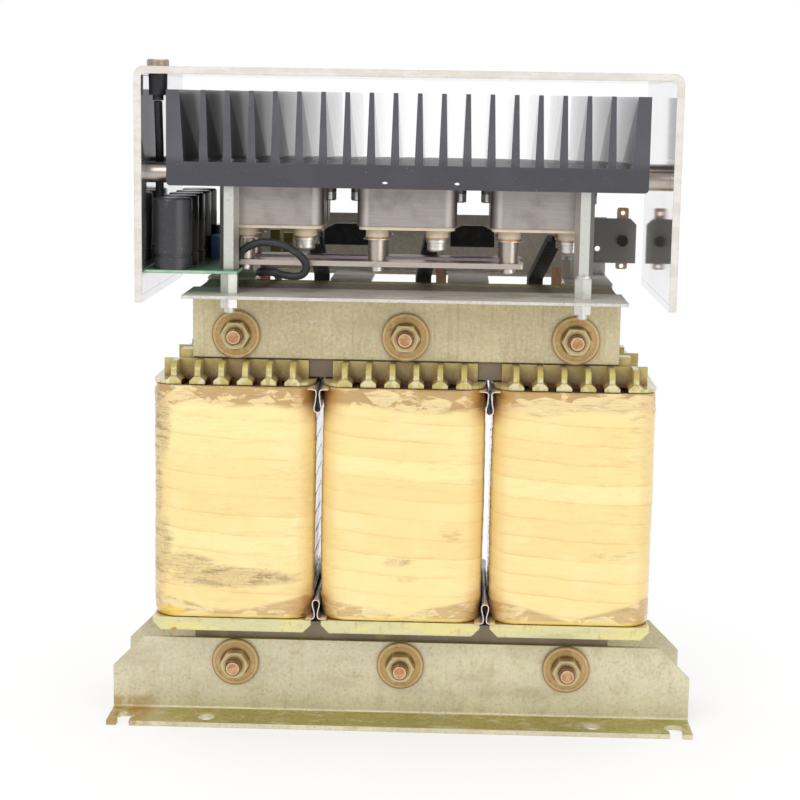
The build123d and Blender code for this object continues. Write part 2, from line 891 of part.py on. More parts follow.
def heat_sink():
    rounds = [((side * sink_half, sink_bottom), sink_round) for side in (-1, 1)]
    sink = extrude_y(sink_section(), -sink_front, sink_rear, rounds)
    for x, y in pillar_spots:
        sink -= upright(pillar_thread / 2, x, y, sink_bottom,
                        sink_bottom + thread_in_sink + blind_hole_past)
    for x, y in module_screw_spots():
        sink -= upright(module_screw / 2, x, y, sink_bottom, sink_bottom + thread_in_sink)
    for side, y in side_screw_spots:
        near, far = sorted((side * sink_half, side * (sink_half - side_screw_bite - blind_hole_past)))
        sink -= along_x(side_screw / 2, y, side_screw_height, near, far)
    return sink


# Power modules under the heat sink

def module_screw_spots():
    return [(x + side * module_screw_half, module_middle)
            for x in module_places for side in (-1, 1)]


def screw_recess(x, side, z_low, z_high):
    radius = screw_head / 2 + screw_recess_play
    return upright(radius, x + side * module_screw_half, module_middle, z_low, z_high)


def module_case(x):
    body = extrude(RectangleRounded(module_width, module_length, module_corner), module_height)
    case = Pos(x, module_middle, case_bottom) * body
    ear_bottom = sink_bottom - module_ear
    for side in (-1, 1):
        screw_x = x + side * module_screw_half
        case -= screw_recess(x, side, case_bottom, ear_bottom)
        case += upright(screw_head / 2, screw_x, module_middle, ear_bottom, sink_bottom)
        case -= upright(module_screw / 2 + hole_play, screw_x, module_middle, ear_bottom, sink_bottom)
    return case


def terminal_spots(x):
    return [(x + side * terminal_half_x, y, side)
            for side in (-1, 1) for y in (front_terminal_y, rear_terminal_y)]


def module_lid(x):
    width = module_width - 2 * lid_inset
    length = module_length - 2 * lid_inset
    corner = module_corner - lid_inset
    lid = Pos(x, module_middle, lid_bottom) * extrude(
        RectangleRounded(width, length, corner), lid_height)
    for boss_x, boss_y, _ in terminal_spots(x):
        lid += upright(boss_outer / 2, boss_x, boss_y, boss_bottom, lid_bottom)
        lid -= upright(terminal_screw / 2, boss_x, boss_y, boss_bottom, case_bottom)
    for side in (-1, 1):
        lid -= screw_recess(x, side, lid_bottom, case_bottom)
    return lid


def domed_head(outer, rounding, x, y, z_low, z_high):
    head = upright(outer / 2, x, y, z_low, z_high)
    return fillet(head.faces().sort_by(Axis.Z)[0].edges(), rounding)


def module_parts():
    for name, x in zip(side_names, module_places):
        save("module_case_" + name, module_case(x))
        save("module_lid_" + name, module_lid(x))
    screws, springs = [], []
    seat = sink_bottom - module_ear
    ring_low = seat - spring_washer
    for x, y in module_screw_spots():
        shank = upright(module_screw / 2, x, y, ring_low, sink_bottom + module_screw_bite)
        head = domed_head(screw_head, screw_head_round, x, y, ring_low - screw_head_high, ring_low)
        screws.append(shank + head)
        springs.append(ring_at(screw_head, module_screw + 2 * hole_play, x, y, ring_low, seat))
    save("module_screws", *screws)
    save("module_spring_washers", *springs)


# Terminal hardware: a standoff and busbar on the left, a lug and screw on the right

def ring_at(outer, hole, x, y, z_low, z_high):
    return upright(outer / 2, x, y, z_low, z_high) - upright(hole / 2, x, y, z_low, z_high)


def terminal_ring(x, y):
    return ring_at(ring_outer, terminal_screw + 2 * hole_play, x, y, ring_bottom, boss_bottom)


def busbar_terminal(x, y):
    hole = terminal_screw + 2 * hole_play
    washer_low = ring_bottom - flat_washer
    washer = ring_at(flat_washer_outer, hole, x, y, washer_low, ring_bottom)
    standoff = ring_at(standoff_outer, hole, x, y, busbar_top, washer_low)
    screw = upright(terminal_screw / 2, x, y, busbar_bottom, lid_bottom + terminal_thread)
    screw += domed_head(cheese_head, cheese_head_round, x, y,
                        busbar_bottom - cheese_head_high, busbar_bottom)
    return washer, standoff, screw


def lug_terminal(x, y):
    hole = terminal_screw + 2 * hole_play
    washer_low = ring_bottom - lug_washer
    spring_low = washer_low - lug_spring
    washer = ring_at(lug_washer_outer, hole, x, y, washer_low, ring_bottom)
    spring = ring_at(lug_spring_outer, hole, x, y, spring_low, washer_low)
    screw = upright(terminal_screw / 2, x, y, spring_low, lid_bottom + terminal_thread)
    screw += domed_head(lug_head, lug_head_round, x, y, spring_low - lug_head_high, spring_low)
    return washer, spring, screw


def terminal_parts():
    rings, washers, standoffs, bar_screws, lug_screws = [], [], [], [], []
    for module_x in module_places:
        for x, y, side in terminal_spots(module_x):
            if side < 0:
                washer, standoff, screw = busbar_terminal(x, y)
                washers.append(washer)
                standoffs.append(standoff)
                bar_screws.append(screw)
            else:
                washer, spring, screw = lug_terminal(x, y)
                washers += [washer, spring]
                lug_screws.append(screw)
            if y == front_terminal_y or (side < 0 and module_x == module_places[0]):
                rings.append(terminal_ring(x, y))
    save("terminal_rings", *rings)
    save("terminal_washers", *washers)
    save("busbar_standoffs", *standoffs)
    save("busbar_screws", *bar_screws)
    save("lug_screws", *lug_screws)


def busbar(y):
    first = module_places[0] - terminal_half_x
    last = module_places[-1] - terminal_half_x
    bar = block(first - busbar_past, last + busbar_past, y - busbar_width / 2,
                y + busbar_width / 2, busbar_bottom, busbar_top)
    bar = fillet(bar.edges().filter_by(Axis.Z), busbar_round)
    for x in module_places:
        bar -= upright(terminal_screw / 2 + hole_play, x - terminal_half_x, y,
                       busbar_bottom, busbar_top)
    return bar


def busbar_parts():
    save("front_busbar", busbar(front_terminal_y))
    save("rear_busbar", busbar(rear_terminal_y))


# Folded bar in a plane that stands upright between two places on the floor plan

def bar_outline(path, thick):
    sides = []
    for sign in (1, -1):
        side = []
        for number, point in enumerate(path):
            here = Vector(*point)
            before = path[number - 1] if number > 0 else None
            after = path[number + 1] if number < len(path) - 1 else None
            along_in = (here - Vector(*before)).normalized() if before else None
            along_out = (Vector(*after) - here).normalized() if after else None
            first = along_in or along_out
            second = along_out or along_in
            normal = Vector(-first.Y - second.Y, first.X + second.X).normalized()
            reach = sign * thick / 2 / normal.dot(Vector(-first.Y, first.X))
            side.append((here.X + normal.X * reach, here.Y + normal.Y * reach))
        sides.append(side)
    return sides[0], sides[1]


def folded_bar(path, thick, wide, bend):
    upper, lower = bar_outline(path, thick)
    rounds = []
    for number in range(1, len(path) - 1):
        first = Vector(*path[number]) - Vector(*path[number - 1])
        second = Vector(*path[number + 1]) - Vector(*path[number])
        left_turn = first.X * second.Y - first.Y * second.X > 0
        inner, outer = (upper, lower) if left_turn else (lower, upper)
        rounds += [(inner[number], bend), (outer[number], bend + thick)]
    face = Plane.XZ * outline_of(upper + lower[::-1], rounds)
    return Pos(0, wide / 2, 0) * extrude(face, wide)


# Straps from the rear of each coil up to the rear lug of each module

def strap_places():
    places = []
    for foot_x, module_x in zip(strap_foot_x, module_places):
        top_x = module_x + terminal_half_x
        run = math.hypot(top_x - foot_x, rear_terminal_y - strap_foot_y)
        turn = math.degrees(math.atan2(rear_terminal_y - strap_foot_y, top_x - foot_x))
        places.append((Pos(foot_x, strap_foot_y, 0) * Rot(0, 0, turn), run))
    return places


def straps():
    level = ring_bottom - seat_gap - strap_thick / 2
    result = []
    for place, run in strap_places():
        path = [(0, strap_foot_z), (0, strip_top + strap_knee),
                (run - strap_end - strap_level_run, level), (run - strap_end, level)]
        result.append(place * folded_bar(path, strap_thick, strap_width, strap_bend))
    return result


def tails():
    half_width, half_thick = tail_width / 2, tail_thick / 2
    return [
        block(x - half_width, x + half_width, strap_foot_y - half_thick, strap_foot_y + half_thick,
              strap_foot_z, strip_top + tail_above_strip)
        for x in tail_x
    ]


# Jumpers: a short thick sleeve between the facing rear terminals of two modules

def jumper_ends(number):
    start = module_places[number] + terminal_half_x + jumper_start
    end = module_places[number + 1] - terminal_half_x - jumper_start
    return start, end


def jumper_sleeve(number):
    start, end = jumper_ends(number)
    shoulder = (end - start) / 4
    top = boss_bottom + jumper_rise
    low = top - jumper - jumper_sag
    arch = [
        (start, low), (start, boss_bottom + seat_gap), (start + shoulder, top),
        (end - shoulder, top), (end, boss_bottom + seat_gap), (end, low),
    ]
    rounds = [(corner, min(jumper_round, shoulder / 2)) for corner in arch[1:5]]
    return extrude_y(arch, jumper_y - jumper / 2, jumper_y + jumper / 2, rounds)


def jumper_tab(x, edge):
    near, far = sorted((x, edge))
    return block(near, far, rear_terminal_y, jumper_y, ring_bottom, boss_bottom)


def lugs():
    hole = terminal_screw / 2 + hole_play
    result = []
    for number, (place, run) in enumerate(strap_places()):
        x = module_places[number] + terminal_half_x
        lug = place * block(run - strap_end - strap_level_run / 2, run, -strap_width / 2,
                            strap_width / 2, ring_bottom, boss_bottom)
        lug += upright(ring_outer / 2, x, rear_terminal_y, ring_bottom, boss_bottom)
        if number < len(module_places) - 1:
            lug += jumper_tab(x, jumper_ends(number)[0] - seat_gap)
        result.append(lug - upright(hole, x, rear_terminal_y, ring_bottom, boss_bottom))
    for number in range(1, len(module_places)):
        x = module_places[number] - terminal_half_x
        lug = upright(ring_outer / 2, x, rear_terminal_y, ring_bottom, boss_bottom)
        lug += jumper_tab(x, jumper_ends(number - 1)[1] + seat_gap)
        result.append(lug - upright(hole, x, rear_terminal_y, ring_bottom, boss_bottom))
    return result


def strap_parts():
    sleeves = [jumper_sleeve(number) for number in range(len(module_places) - 1)]
    save("winding_straps", *straps(), *sleeves)
    save("winding_tails", *tails())
    save("strap_lugs", *lugs())


# Outer cover, its spacers and its screws

def cover():
    half, top = cover_half, cover_top
    inner, ceiling = cover_inner, cover_inner_top
    section = [
        (-half, cover_bottom), (-half, top), (half, top), (half, cover_bottom),
        (inner, cover_bottom), (inner, ceiling), (-inner, ceiling), (-inner, cover_bottom),
    ]
    rounds = []
    for side in (-1, 1):
        rounds.append(((side * half, top), cover_bend + cover_sheet))
        rounds.append(((side * inner, ceiling), cover_bend))
    shell = extrude_y(section, -cover_front, cover_rear, rounds)
    for side, y in side_screw_spots:
        near, far = sorted((side * inner, side * half))
        shell -= along_x(side_screw / 2 + hole_play, y, side_screw_height, near, far)
        shell -= screw_cone(side, y, side_screw_head / 2 + seat_gap)
    shell -= upright(lamp_hole / 2, lamp_x, lamp_y, ceiling, top)
    return shell


def screw_cone(side, y, radius):
    deep = radius - side_screw / 2
    cone = Cone(side_screw / 2, radius, deep)
    middle = side * (cover_half - deep / 2)
    return Pos(middle, y, side_screw_height) * Rot(0, side * 90, 0) * cone


def cover_parts():
    spacers, screws = [], []
    for side, y in side_screw_spots:
        near, far = sorted((side * sink_half, side * cover_inner))
        bush = along_x(side_spacer / 2, y, side_screw_height, near, far)
        spacers.append(bush - along_x(side_screw / 2 + hole_play, y, side_screw_height, near, far))
        deep = side_screw_head / 2 - side_screw / 2
        near, far = sorted((side * (sink_half - side_screw_bite), side * (cover_half - deep)))
        shank = along_x(side_screw / 2, y, side_screw_height, near, far)
        screws.append(shank + screw_cone(side, y, side_screw_head / 2))
    save("cover", cover())
    save("cover_spacers", *spacers)
    save("cover_screws", *screws)


# Panel lamp in the cover and its lead down to the board

def lamp_parts():
    cap = upright(lamp_cap / 2, lamp_x, lamp_y, cover_top, cover_top + lamp_cap_high)
    cap = chamfer(cap.faces().sort_by(Axis.Z)[-1].edges(), lamp_cap_round)
    neck = upright(lamp_hole / 2 - hole_play, lamp_x, lamp_y, cover_inner_top, cover_top)
    save("lamp_bezel", cap + neck)
    low = cover_inner_top - lamp_boot_high
    boot = Pos(lamp_x, lamp_y, (low + cover_inner_top) / 2) * Cone(
        lamp_boot_low / 2, lamp_boot / 2, lamp_boot_high)
    boot += upright(lamp_collar / 2, lamp_x, lamp_y, low - lamp_collar_high, low)
    save("lamp_boot", boot)


# Leads: straight runs joined by arcs as large as the runs allow

def lead_tube(name, route, diameter):
    points = [Vector(*point) for point in route]
    radii = []
    for before, here, after in zip(points, points[1:], points[2:]):
        turn = (here - before).get_angle(after - here)
        shorter = min((here - before).length, (after - here).length)
        radii.append(0.45 * shorter / math.tan(math.radians(turn / 2)))
    path = FilletPolyline(*points, radius=radii)
    start = Plane(origin=points[0], z_dir=points[1] - points[0])
    tube = sweep(start * Circle(diameter / 2), path=path)
    print(name, "radii", [round(radius, 1) for radius in radii], "length", round(path.length, 1),
          "volume share", round(tube.volume / (math.pi * diameter ** 2 / 4 * path.length), 4))
    save(name, tube)


def main():
    core_parts()
    clamp_parts()
    stud_parts()
    coil_parts()
    film_parts()
    tray_parts()
    pillar_parts()
    board_parts()
    save("heat_sink", heat_sink())
    module_parts()
    terminal_parts()
    busbar_parts()
    strap_parts()
    cover_parts()
    lamp_parts()
    lead_tube("lamp_lead", lamp_route, lead)
    lead_tube("loop_lead", loop_route, loop_lead)


main()
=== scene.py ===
import math
from types import SimpleNamespace

import bmesh
import bpy
import numpy as np
from mathutils import Matrix, Vector


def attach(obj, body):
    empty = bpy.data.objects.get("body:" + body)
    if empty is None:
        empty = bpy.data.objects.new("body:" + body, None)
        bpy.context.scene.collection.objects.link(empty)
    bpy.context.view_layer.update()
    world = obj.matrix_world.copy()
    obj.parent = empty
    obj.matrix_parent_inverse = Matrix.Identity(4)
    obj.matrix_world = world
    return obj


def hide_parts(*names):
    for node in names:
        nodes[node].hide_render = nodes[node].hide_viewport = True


# Looks of a three-limb dry type transformer with a rectifier tray on top.
# X runs to the right, Y to the back and Z up. The camera, lamps and floor are given in metres;
# leads, coils, films and materials are worked out in millimetres.

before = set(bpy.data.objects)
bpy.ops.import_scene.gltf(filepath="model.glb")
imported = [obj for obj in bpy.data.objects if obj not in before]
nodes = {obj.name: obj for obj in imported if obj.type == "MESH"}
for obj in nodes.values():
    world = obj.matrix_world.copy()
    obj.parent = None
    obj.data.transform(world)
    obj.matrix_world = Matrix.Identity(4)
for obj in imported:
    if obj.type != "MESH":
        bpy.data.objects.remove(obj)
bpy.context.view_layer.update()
MM = 0.001
COIL_PITCH_MM = 84.0


def linked(name, data):
    """A new object in the scene."""
    made = bpy.data.objects.new(name, data)
    bpy.context.scene.collection.objects.link(made)
    return made


# Camera, at the photograph's place

CAMERA_AT = (0.0235, -0.9482, 0.3131)
YAW, PITCH_DOWN, ROLL = (math.radians(degrees) for degrees in (-1.606, 9.144, -0.926))
FOCAL_PX, FRAME_PX, SENSOR_MM = 1877.5, 800, 36.0


def make_camera():
    ahead = math.cos(PITCH_DOWN)
    forward = Vector((math.sin(YAW) * ahead, math.cos(YAW) * ahead, -math.sin(PITCH_DOWN)))
    level = Vector((math.cos(YAW), -math.sin(YAW), 0))
    above = level.cross(forward)
    right = math.cos(ROLL) * level - math.sin(ROLL) * above
    up = math.sin(ROLL) * level + math.cos(ROLL) * above
    data = bpy.data.cameras.new("camera")
    data.sensor_width = SENSOR_MM
    data.lens = SENSOR_MM * FOCAL_PX / FRAME_PX
    data.clip_start, data.clip_end = 0.05, 20
    camera = linked("camera", data)
    turn = Matrix((right, up, -forward)).transposed().to_4x4()
    camera.matrix_world = Matrix.Translation(CAMERA_AT) @ turn
    bpy.context.scene.camera = camera


make_camera()


# Leads, on the routes of the part's own tubes

LAMP_ROUTE_MM = [
    (-119.4, -46.0, 309.6), (-119.4, -44.4, 299.8), (-120.2, -37.0, 288.0), (-121.0, -31.2, 274.0),
    (-121.0, -33.8, 260.0), (-120.2, -37.0, 247.6), (-120.0, -37.1, 235.8),
]
LOOP_ROUTE_MM = [
    (-84.0, -39.9, 231.2), (-82.5, -40.2, 235.4), (-78.2, -41.4, 240.2), (-71.4, -43.2, 243.2),
    (-64.4, -44.2, 243.2), (-57.4, -44.6, 241.4), (-51.9, -44.6, 238.0), (-48.5, -44.4, 234.2),
    (-48.0, -44.1, 231.0), (-49.4, -43.8, 228.2), (-52.4, -43.4, 226.9), (-58.0, -42.4, 227.1),
    (-64.6, -38.8, 228.2), (-70.6, -31.4, 228.2), (-73.6, -20.0, 226.6), (-74.6, -6.0, 224.8),
    (-74.4, 8.0, 223.8), (-73.0, 22.0, 223.6), (-71.0, 34.0, 222.8), (-69.6, 44.6, 217.4),
    (-69.4, 48.8, 205.0), (-69.6, 47.4, 189.0), (-70.2, 44.6, 172.4),
]


def make_cord(name, node, route_mm, diameter_mm):
    """A round lead whose points carry its radius, so its bevel depth is one metre."""
    data = bpy.data.curves.new(name, "CURVE")
    data.dimensions = "3D"
    spline = data.splines.new("NURBS")
    spline.points.add(len(route_mm) - 1)
    for point, place in zip(spline.points, route_mm):
        point.co = (*(v * MM for v in place), 1)
        point.radius = diameter_mm * MM / 2
    spline.order_u = 3
    spline.use_endpoint_u = True
    spline.resolution_u = 12
    data.bevel_depth = 1.0
    data.bevel_resolution = 6
    data.use_fill_caps = True
    cord = linked(name, data)
    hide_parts(node)
    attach(cord, "root")


make_cord("lamp_lead_soft", "lamp_lead", LAMP_ROUTE_MM, 4.0)
make_cord("loop_lead_soft", "loop_lead", LOOP_ROUTE_MM, 3.8)


# Shader graphs: sockets that can be added, multiplied and mixed

class Value:
    """One output in a material's graph."""

    def __init__(self, paint, socket):
        self.paint, self.socket = paint, socket

    def math(self, operation, *others):
        return self.paint.node("ShaderNodeMath", [self, *others], operation=operation)

    def __add__(self, other):
        return self.math("ADD", other)

    __radd__ = __add__

    def __mul__(self, other):
        return self.math("MULTIPLY", other)

    __rmul__ = __mul__

    def __sub__(self, other):
        return self.math("SUBTRACT", other)

    def __rsub__(self, other):
        return self.paint.node("ShaderNodeMath", [other, self], operation="SUBTRACT")

    def __truediv__(self, other):
        return self.math("DIVIDE", other)

    def __pow__(self, other):
        return self.math("POWER", other)

    def size(self):
        return self.math("ABSOLUTE")

    def fraction(self):
        return self.math("FRACT")

    def sine(self):
        return self.math("SINE")

    def at_most(self, other):
        return self.math("MINIMUM", other)

    def at_least(self, other):
        return self.math("MAXIMUM", other)

    def rise(self, low, high, to_low=0.0, to_high=1.0):
        """Smoothly from to_low at low to to_high at high."""
        return self.paint.node(
            "ShaderNodeMapRange",
            {"Value": self, "From Min": low, "From Max": high, "To Min": to_low, "To Max": to_high},
            interpolation_type="SMOOTHSTEP")

    def between(self, low, high, soft):
        """One from low to high and nothing outside, with soft edges."""
        return self.rise(low - soft, low + soft) * self.rise(high - soft, high + soft, 1.0, 0.0)


class Paint:
    """A material under construction; places are in millimetres in the object's frame."""

    def __init__(self, name):
        self.material = bpy.data.materials.new(name)
        self.material.use_nodes = True
        self.tree = self.material.node_tree
        self.tree.nodes.clear()
        self.mm = self.vector("MULTIPLY", self.node("ShaderNodeTexCoord", output="Object"), (1000,) * 3)
        parts = self.node_only("ShaderNodeSeparateXYZ", [self.mm])
        self.x, self.y, self.z = (Value(self, o) for o in parts.outputs)

    def node_only(self, kind, inputs=(), **settings):
        made = self.tree.nodes.new(kind)
        for key, setting in settings.items():
            setattr(made, key, setting)
        pairs = inputs.items() if isinstance(inputs, dict) else enumerate(inputs)
        for key, value in pairs:
            if isinstance(value, Value):
                self.tree.links.new(value.socket, made.inputs[key])
            elif isinstance(value, tuple) and made.inputs[key].type == "RGBA" and len(value) == 3:
                made.inputs[key].default_value = (*value, 1)
            else:
                made.inputs[key].default_value = value
        return made

    def node(self, kind, inputs=(), output=0, **settings):
        return Value(self, self.node_only(kind, inputs, **settings).outputs[output])

    def vector(self, operation, *values):
        return self.node("ShaderNodeVectorMath", list(values), operation=operation)

    def attribute(self, name):
        return self.node("ShaderNodeAttribute", output="Fac", attribute_name=name)

    def placed(self, size, stretch, seed):
        scale = tuple(s / size for s in stretch)
        moved = self.vector("MULTIPLY", self.mm, scale)
        return self.vector("ADD", moved, (seed * 7.3, seed * 3.1, seed * 5.7))

    def noise(self, size, detail=2.0, rough=0.5, stretch=(1, 1, 1), seed=0, warp=0.0):
        return self.node("ShaderNodeTexNoise", {
            "Vector": self.placed(size, stretch, seed), "Scale": 1.0, "Detail": detail,
            "Roughness": rough, "Distortion": warp})

    def cells(self, size, stretch=(1, 1, 1), seed=0):
        """One random grey for each cell."""
        inputs = {"Vector": self.placed(size, stretch, seed), "Scale": 1.0}
        colour = self.node("ShaderNodeTexVoronoi", inputs, output="Color")
        return self.node("ShaderNodeRGBToBW", [colour])

    def facing(self, axis):
        """How far the face looks along one axis, from minus one to one."""
        normal = self.node("ShaderNodeNewGeometry", output="True Normal")
        return self.node("ShaderNodeSeparateXYZ", [normal], output=axis)

    def from_spot(self, spot_mm, stretch):
        """Distance from a spot, with each axis stretched."""
        at = self.vector("MULTIPLY", self.mm, stretch)
        spot = tuple(place * scale for place, scale in zip(spot_mm, stretch))
        return self.node("ShaderNodeVectorMath", [at, spot], output="Value", operation="DISTANCE")

    def open_to_air(self, reach_mm, samples):
        """One on open faces, less in corners and between pieces."""
        reach = {"Distance": reach_mm * MM}
        return self.node("ShaderNodeAmbientOcclusion", reach, output="AO", samples=samples)

    def mixed(self, first, second, share):
        return self.node("ShaderNodeMix", {0: share, 6: first, 7: second}, output=2, data_type="RGBA")

    def layers(self, base, *coats):
        for colour, share in coats:
            base = self.mixed(base, colour, share)
        return base

    def edges(self, radius_mm, low=0.02, high=0.25):
        """One at the sharp outer edges, and the rounded normal that shows them."""
        rounded = self.node("ShaderNodeBevel", {"Radius": radius_mm * MM}, samples=4)
        true = self.node("ShaderNodeNewGeometry", output="Normal")
        close = self.node("ShaderNodeVectorMath", [rounded, true], output="Value", operation="DOT_PRODUCT")
        return (1.0 - close).rise(low, high), rounded

    def bump(self, height_mm, normal=None):
        inputs = {"Strength": 1.0, "Distance": MM, "Height": height_mm}
        if normal is not None:
            inputs["Normal"] = normal
        return self.node("ShaderNodeBump", inputs)

    def finish(self, colour, rough, metal=0.0, normal=None, **more):
        inputs = {"Base Color": colour, "Roughness": rough, "Metallic": metal}
        if normal is not None:
            inputs["Normal"] = normal
        inputs.update({key.replace("_", " "): value for key, value in more.items()})
        shader = self.node("ShaderNodeBsdfPrincipled", inputs)
        return self.shown(shader)

    def shown(self, shader):
        self.node_only("ShaderNodeOutputMaterial", [shader])
        return self.material


def put(material, *names):
    """Gives the material to the named pieces."""
    for name in names:
        piece = nodes.get(name) or bpy.data.objects[name]
        piece.data.materials.clear()
        piece.data.materials.append(material)


# Metals

def zinc_sheet(name, web, rust, run_down):
    """Yellow passivated steel: finely mottled webs, olive flanges, streaks down the sheet and dark specks."""
    p = Paint(name)
    edge, rounded = p.edges(0.6)
    flat = p.facing("Z").size().rise(0.5, 0.9)
    cloud = p.noise(34, 4, 0.55, seed=1)
    bloom = p.noise(7, 5, 0.62, stretch=(1, 1, 0.7), seed=2)
    fleck = p.noise(1.8, 4, 0.7, seed=8)
    streak = p.noise(2.2, 4, 0.65, stretch=(1, 1, 0.05), seed=3)
    haze = p.noise(13, 4, 0.6, stretch=(0.3, 1, 1), seed=9)
    grain = p.noise(0.5, 2, 0.6, seed=4)
    speck = p.noise(1.5, 3, 0.6, seed=5).rise(0.70, 0.76) * p.noise(16, 1, seed=6).rise(0.42, 0.62)
    worn = p.noise(9, 5, 0.7, stretch=(0.5, 1, 1), seed=7)
    heel = p.x.rise(-121, -133) * (p.z - 4).size().rise(6.0, 2.5) * p.y.rise(-20, -30)
    light = tuple(min(1.0, v * 1.14 + 0.02) for v in web)
    upright = p.layers(
        web,
        (light, cloud.rise(0.42, 0.66) * 0.7),
        ((0.55, 0.48, 0.26), bloom.rise(0.48, 0.72) * 0.5),
        ((0.78, 0.77, 0.68), fleck.rise(0.50, 0.66) * 0.55),
        ((0.42, 0.34, 0.19), fleck.rise(0.46, 0.32) * 0.5),
        ((0.55, 0.47, 0.31), haze.rise(0.50, 0.68) * 0.5),
        ((0.52, 0.40, 0.24), streak.rise(0.52, 0.70) * run_down))
    level = p.layers(
        (0.46, 0.41, 0.135),
        ((0.60, 0.55, 0.27), bloom.rise(0.46, 0.66) * 0.7),
        ((0.27, 0.22, 0.055), fleck.rise(0.50, 0.66) * 0.75),
        ((0.68, 0.67, 0.56), worn.rise(0.55, 0.66) * 0.8),
        ((0.66, 0.645, 0.57), p.x.rise(-112, -128) * 0.35))
    colour = p.layers(
        p.mixed(upright, level, flat),
        ((0.16, 0.10, 0.045), speck * 0.75),
        ((0.42, 0.24, 0.06), worn.rise(0.62, 0.72) * rust),
        ((0.44, 0.27, 0.05), heel * bloom.rise(0.34, 0.54) * 0.85),
        ((0.50, 0.44, 0.34), edge * 0.5))
    rough = 0.38 + cloud * 0.12 + grain * 0.10 + fleck * 0.08
    normal = p.bump(bloom * 0.08 + grain * 0.05 + fleck * 0.08 - speck * 0.08, rounded)
    return p.finish(colour, rough, 0.62, normal)


STUD_LOW_MM, STUD_HIGH_MM = 28.2, 196.2


def from_gap(p):
    """Distance in millimetres from the middle of the nearest gap between coils."""
    return ((p.x / COIL_PITCH_MM).fraction() * COIL_PITCH_MM - COIL_PITCH_MM / 2).size()


def from_stud(p):
    """Distance in millimetres from the axis of the nearest stud."""
    half = COIL_PITCH_MM / 2
    across = ((p.x + half) / COIL_PITCH_MM).fraction() * COIL_PITCH_MM - half
    low, high = (p.z - STUD_LOW_MM).size(), (p.z - STUD_HIGH_MM).size()
    up = low.at_most(high)
    return (across * across + up * up) ** 0.5


def zinc_hardware(name, warm, ringed=0.0):
    """Golden bronze with pink bloom and turned rings on washers, where ringed is one; painted shade and
    highlight rings on washers and nuts, painted shade round the nut's foot, and painted edge highlights.
    """
    p = Paint(name)
    ring_pitch_mm = 0.8
    edge, rounded = p.edges(0.5)
    away = from_stud(p)
    bloom = p.noise(5, 4, 0.6, seed=1)
    film = p.noise(2.2, 4, 0.65, seed=2)
    grain = p.noise(0.35, 2, 0.6, seed=3)
    turned = ((away + film * 0.5) * (2 * math.pi / ring_pitch_mm)).sine()
    # The rim and root masks are painted shade: a dark ring at the washer's rim and round the foot of the nut.
    rim = away.rise(11.2, 11.7)
    root = away.rise(8.1, 7.2) * ringed
    colour = p.layers(
        (0.54, 0.38, 0.16),
        (warm, bloom.rise(0.42, 0.62) * 0.75),
        ((0.62, 0.54, 0.28), film.rise(0.50, 0.68) * 0.6),
        ((0.24, 0.15, 0.06), film.rise(0.42, 0.30) * 0.7),
        ((0.66, 0.50, 0.26), turned.rise(0.3, 0.9) * 0.28 * ringed),
        # Painted shade and highlight rings on the washers, then on the nuts painted shade in the bore and a
        # painted highlight ring; the edge colour is a painted highlight.
        ((0.26, 0.16, 0.07), away.between(9.6, 10.2, 0.25) * ringed * 0.2),
        ((0.80, 0.60, 0.34), away.between(10.5, 11.3, 0.2) * ringed * 0.38),
        ((0.22, 0.13, 0.06), rim * ringed * 0.6), ((0.10, 0.06, 0.03), root * 0.7),
        ((0.22, 0.15, 0.07), away.rise(5.0, 4.2) * (1.0 - ringed) * 0.6),
        ((0.84, 0.70, 0.46), away.between(5.6, 6.3, 0.25) * (1.0 - ringed) * 0.5),
        ((0.74, 0.60, 0.40), edge * 0.55))
    rough = 0.26 + bloom * 0.16 + grain * 0.10
    height = grain * 0.04 + film * 0.06 + turned * 0.03 * ringed
    return p.finish(colour, rough, 0.85, p.bump(height, rounded))


THREAD_PITCH_MM, STUD_HALF_MM = 1.25, 40.75


def stud_metal():
    """Studs with a thread along Y and a coppery end."""
    p = Paint("stud")
    edge, rounded = p.edges(0.4)
    thread = (p.y * (2 * math.pi / THREAD_PITCH_MM)).sine()
    off_end = p.y.size().rise(STUD_HALF_MM - 0.15, STUD_HALF_MM, 1.0, 0.0)
    bloom = p.noise(4, 3, 0.6, seed=1)
    away = from_stud(p)
    sawn = p.noise(0.7, 3, 0.6, stretch=(0.25, 1, 1), seed=2)
    colour = p.layers(
        (0.52, 0.27, 0.12), ((0.68, 0.45, 0.26), bloom.rise(0.45, 0.62) * 0.8),
        ((0.36, 0.18, 0.09), sawn.rise(0.50, 0.66) * 0.6),
        # Painted highlights: a bright ring on the stud's end, and further down the lighter colour at the
        # edges.
        ((0.86, 0.66, 0.44), away.between(2.7, 3.3, 0.25) * 0.6),
        ((0.20, 0.10, 0.05), away.rise(3.4, 3.8) * 0.6),
        ((0.18, 0.09, 0.05), (0.0 - thread).rise(0.1, 0.9) * off_end * 0.7),
        ((0.85, 0.64, 0.45), edge * 0.5))
    return p.finish(colour, 0.30 + bloom * 0.2, 0.85, p.bump(thread * off_end * 0.25, rounded))


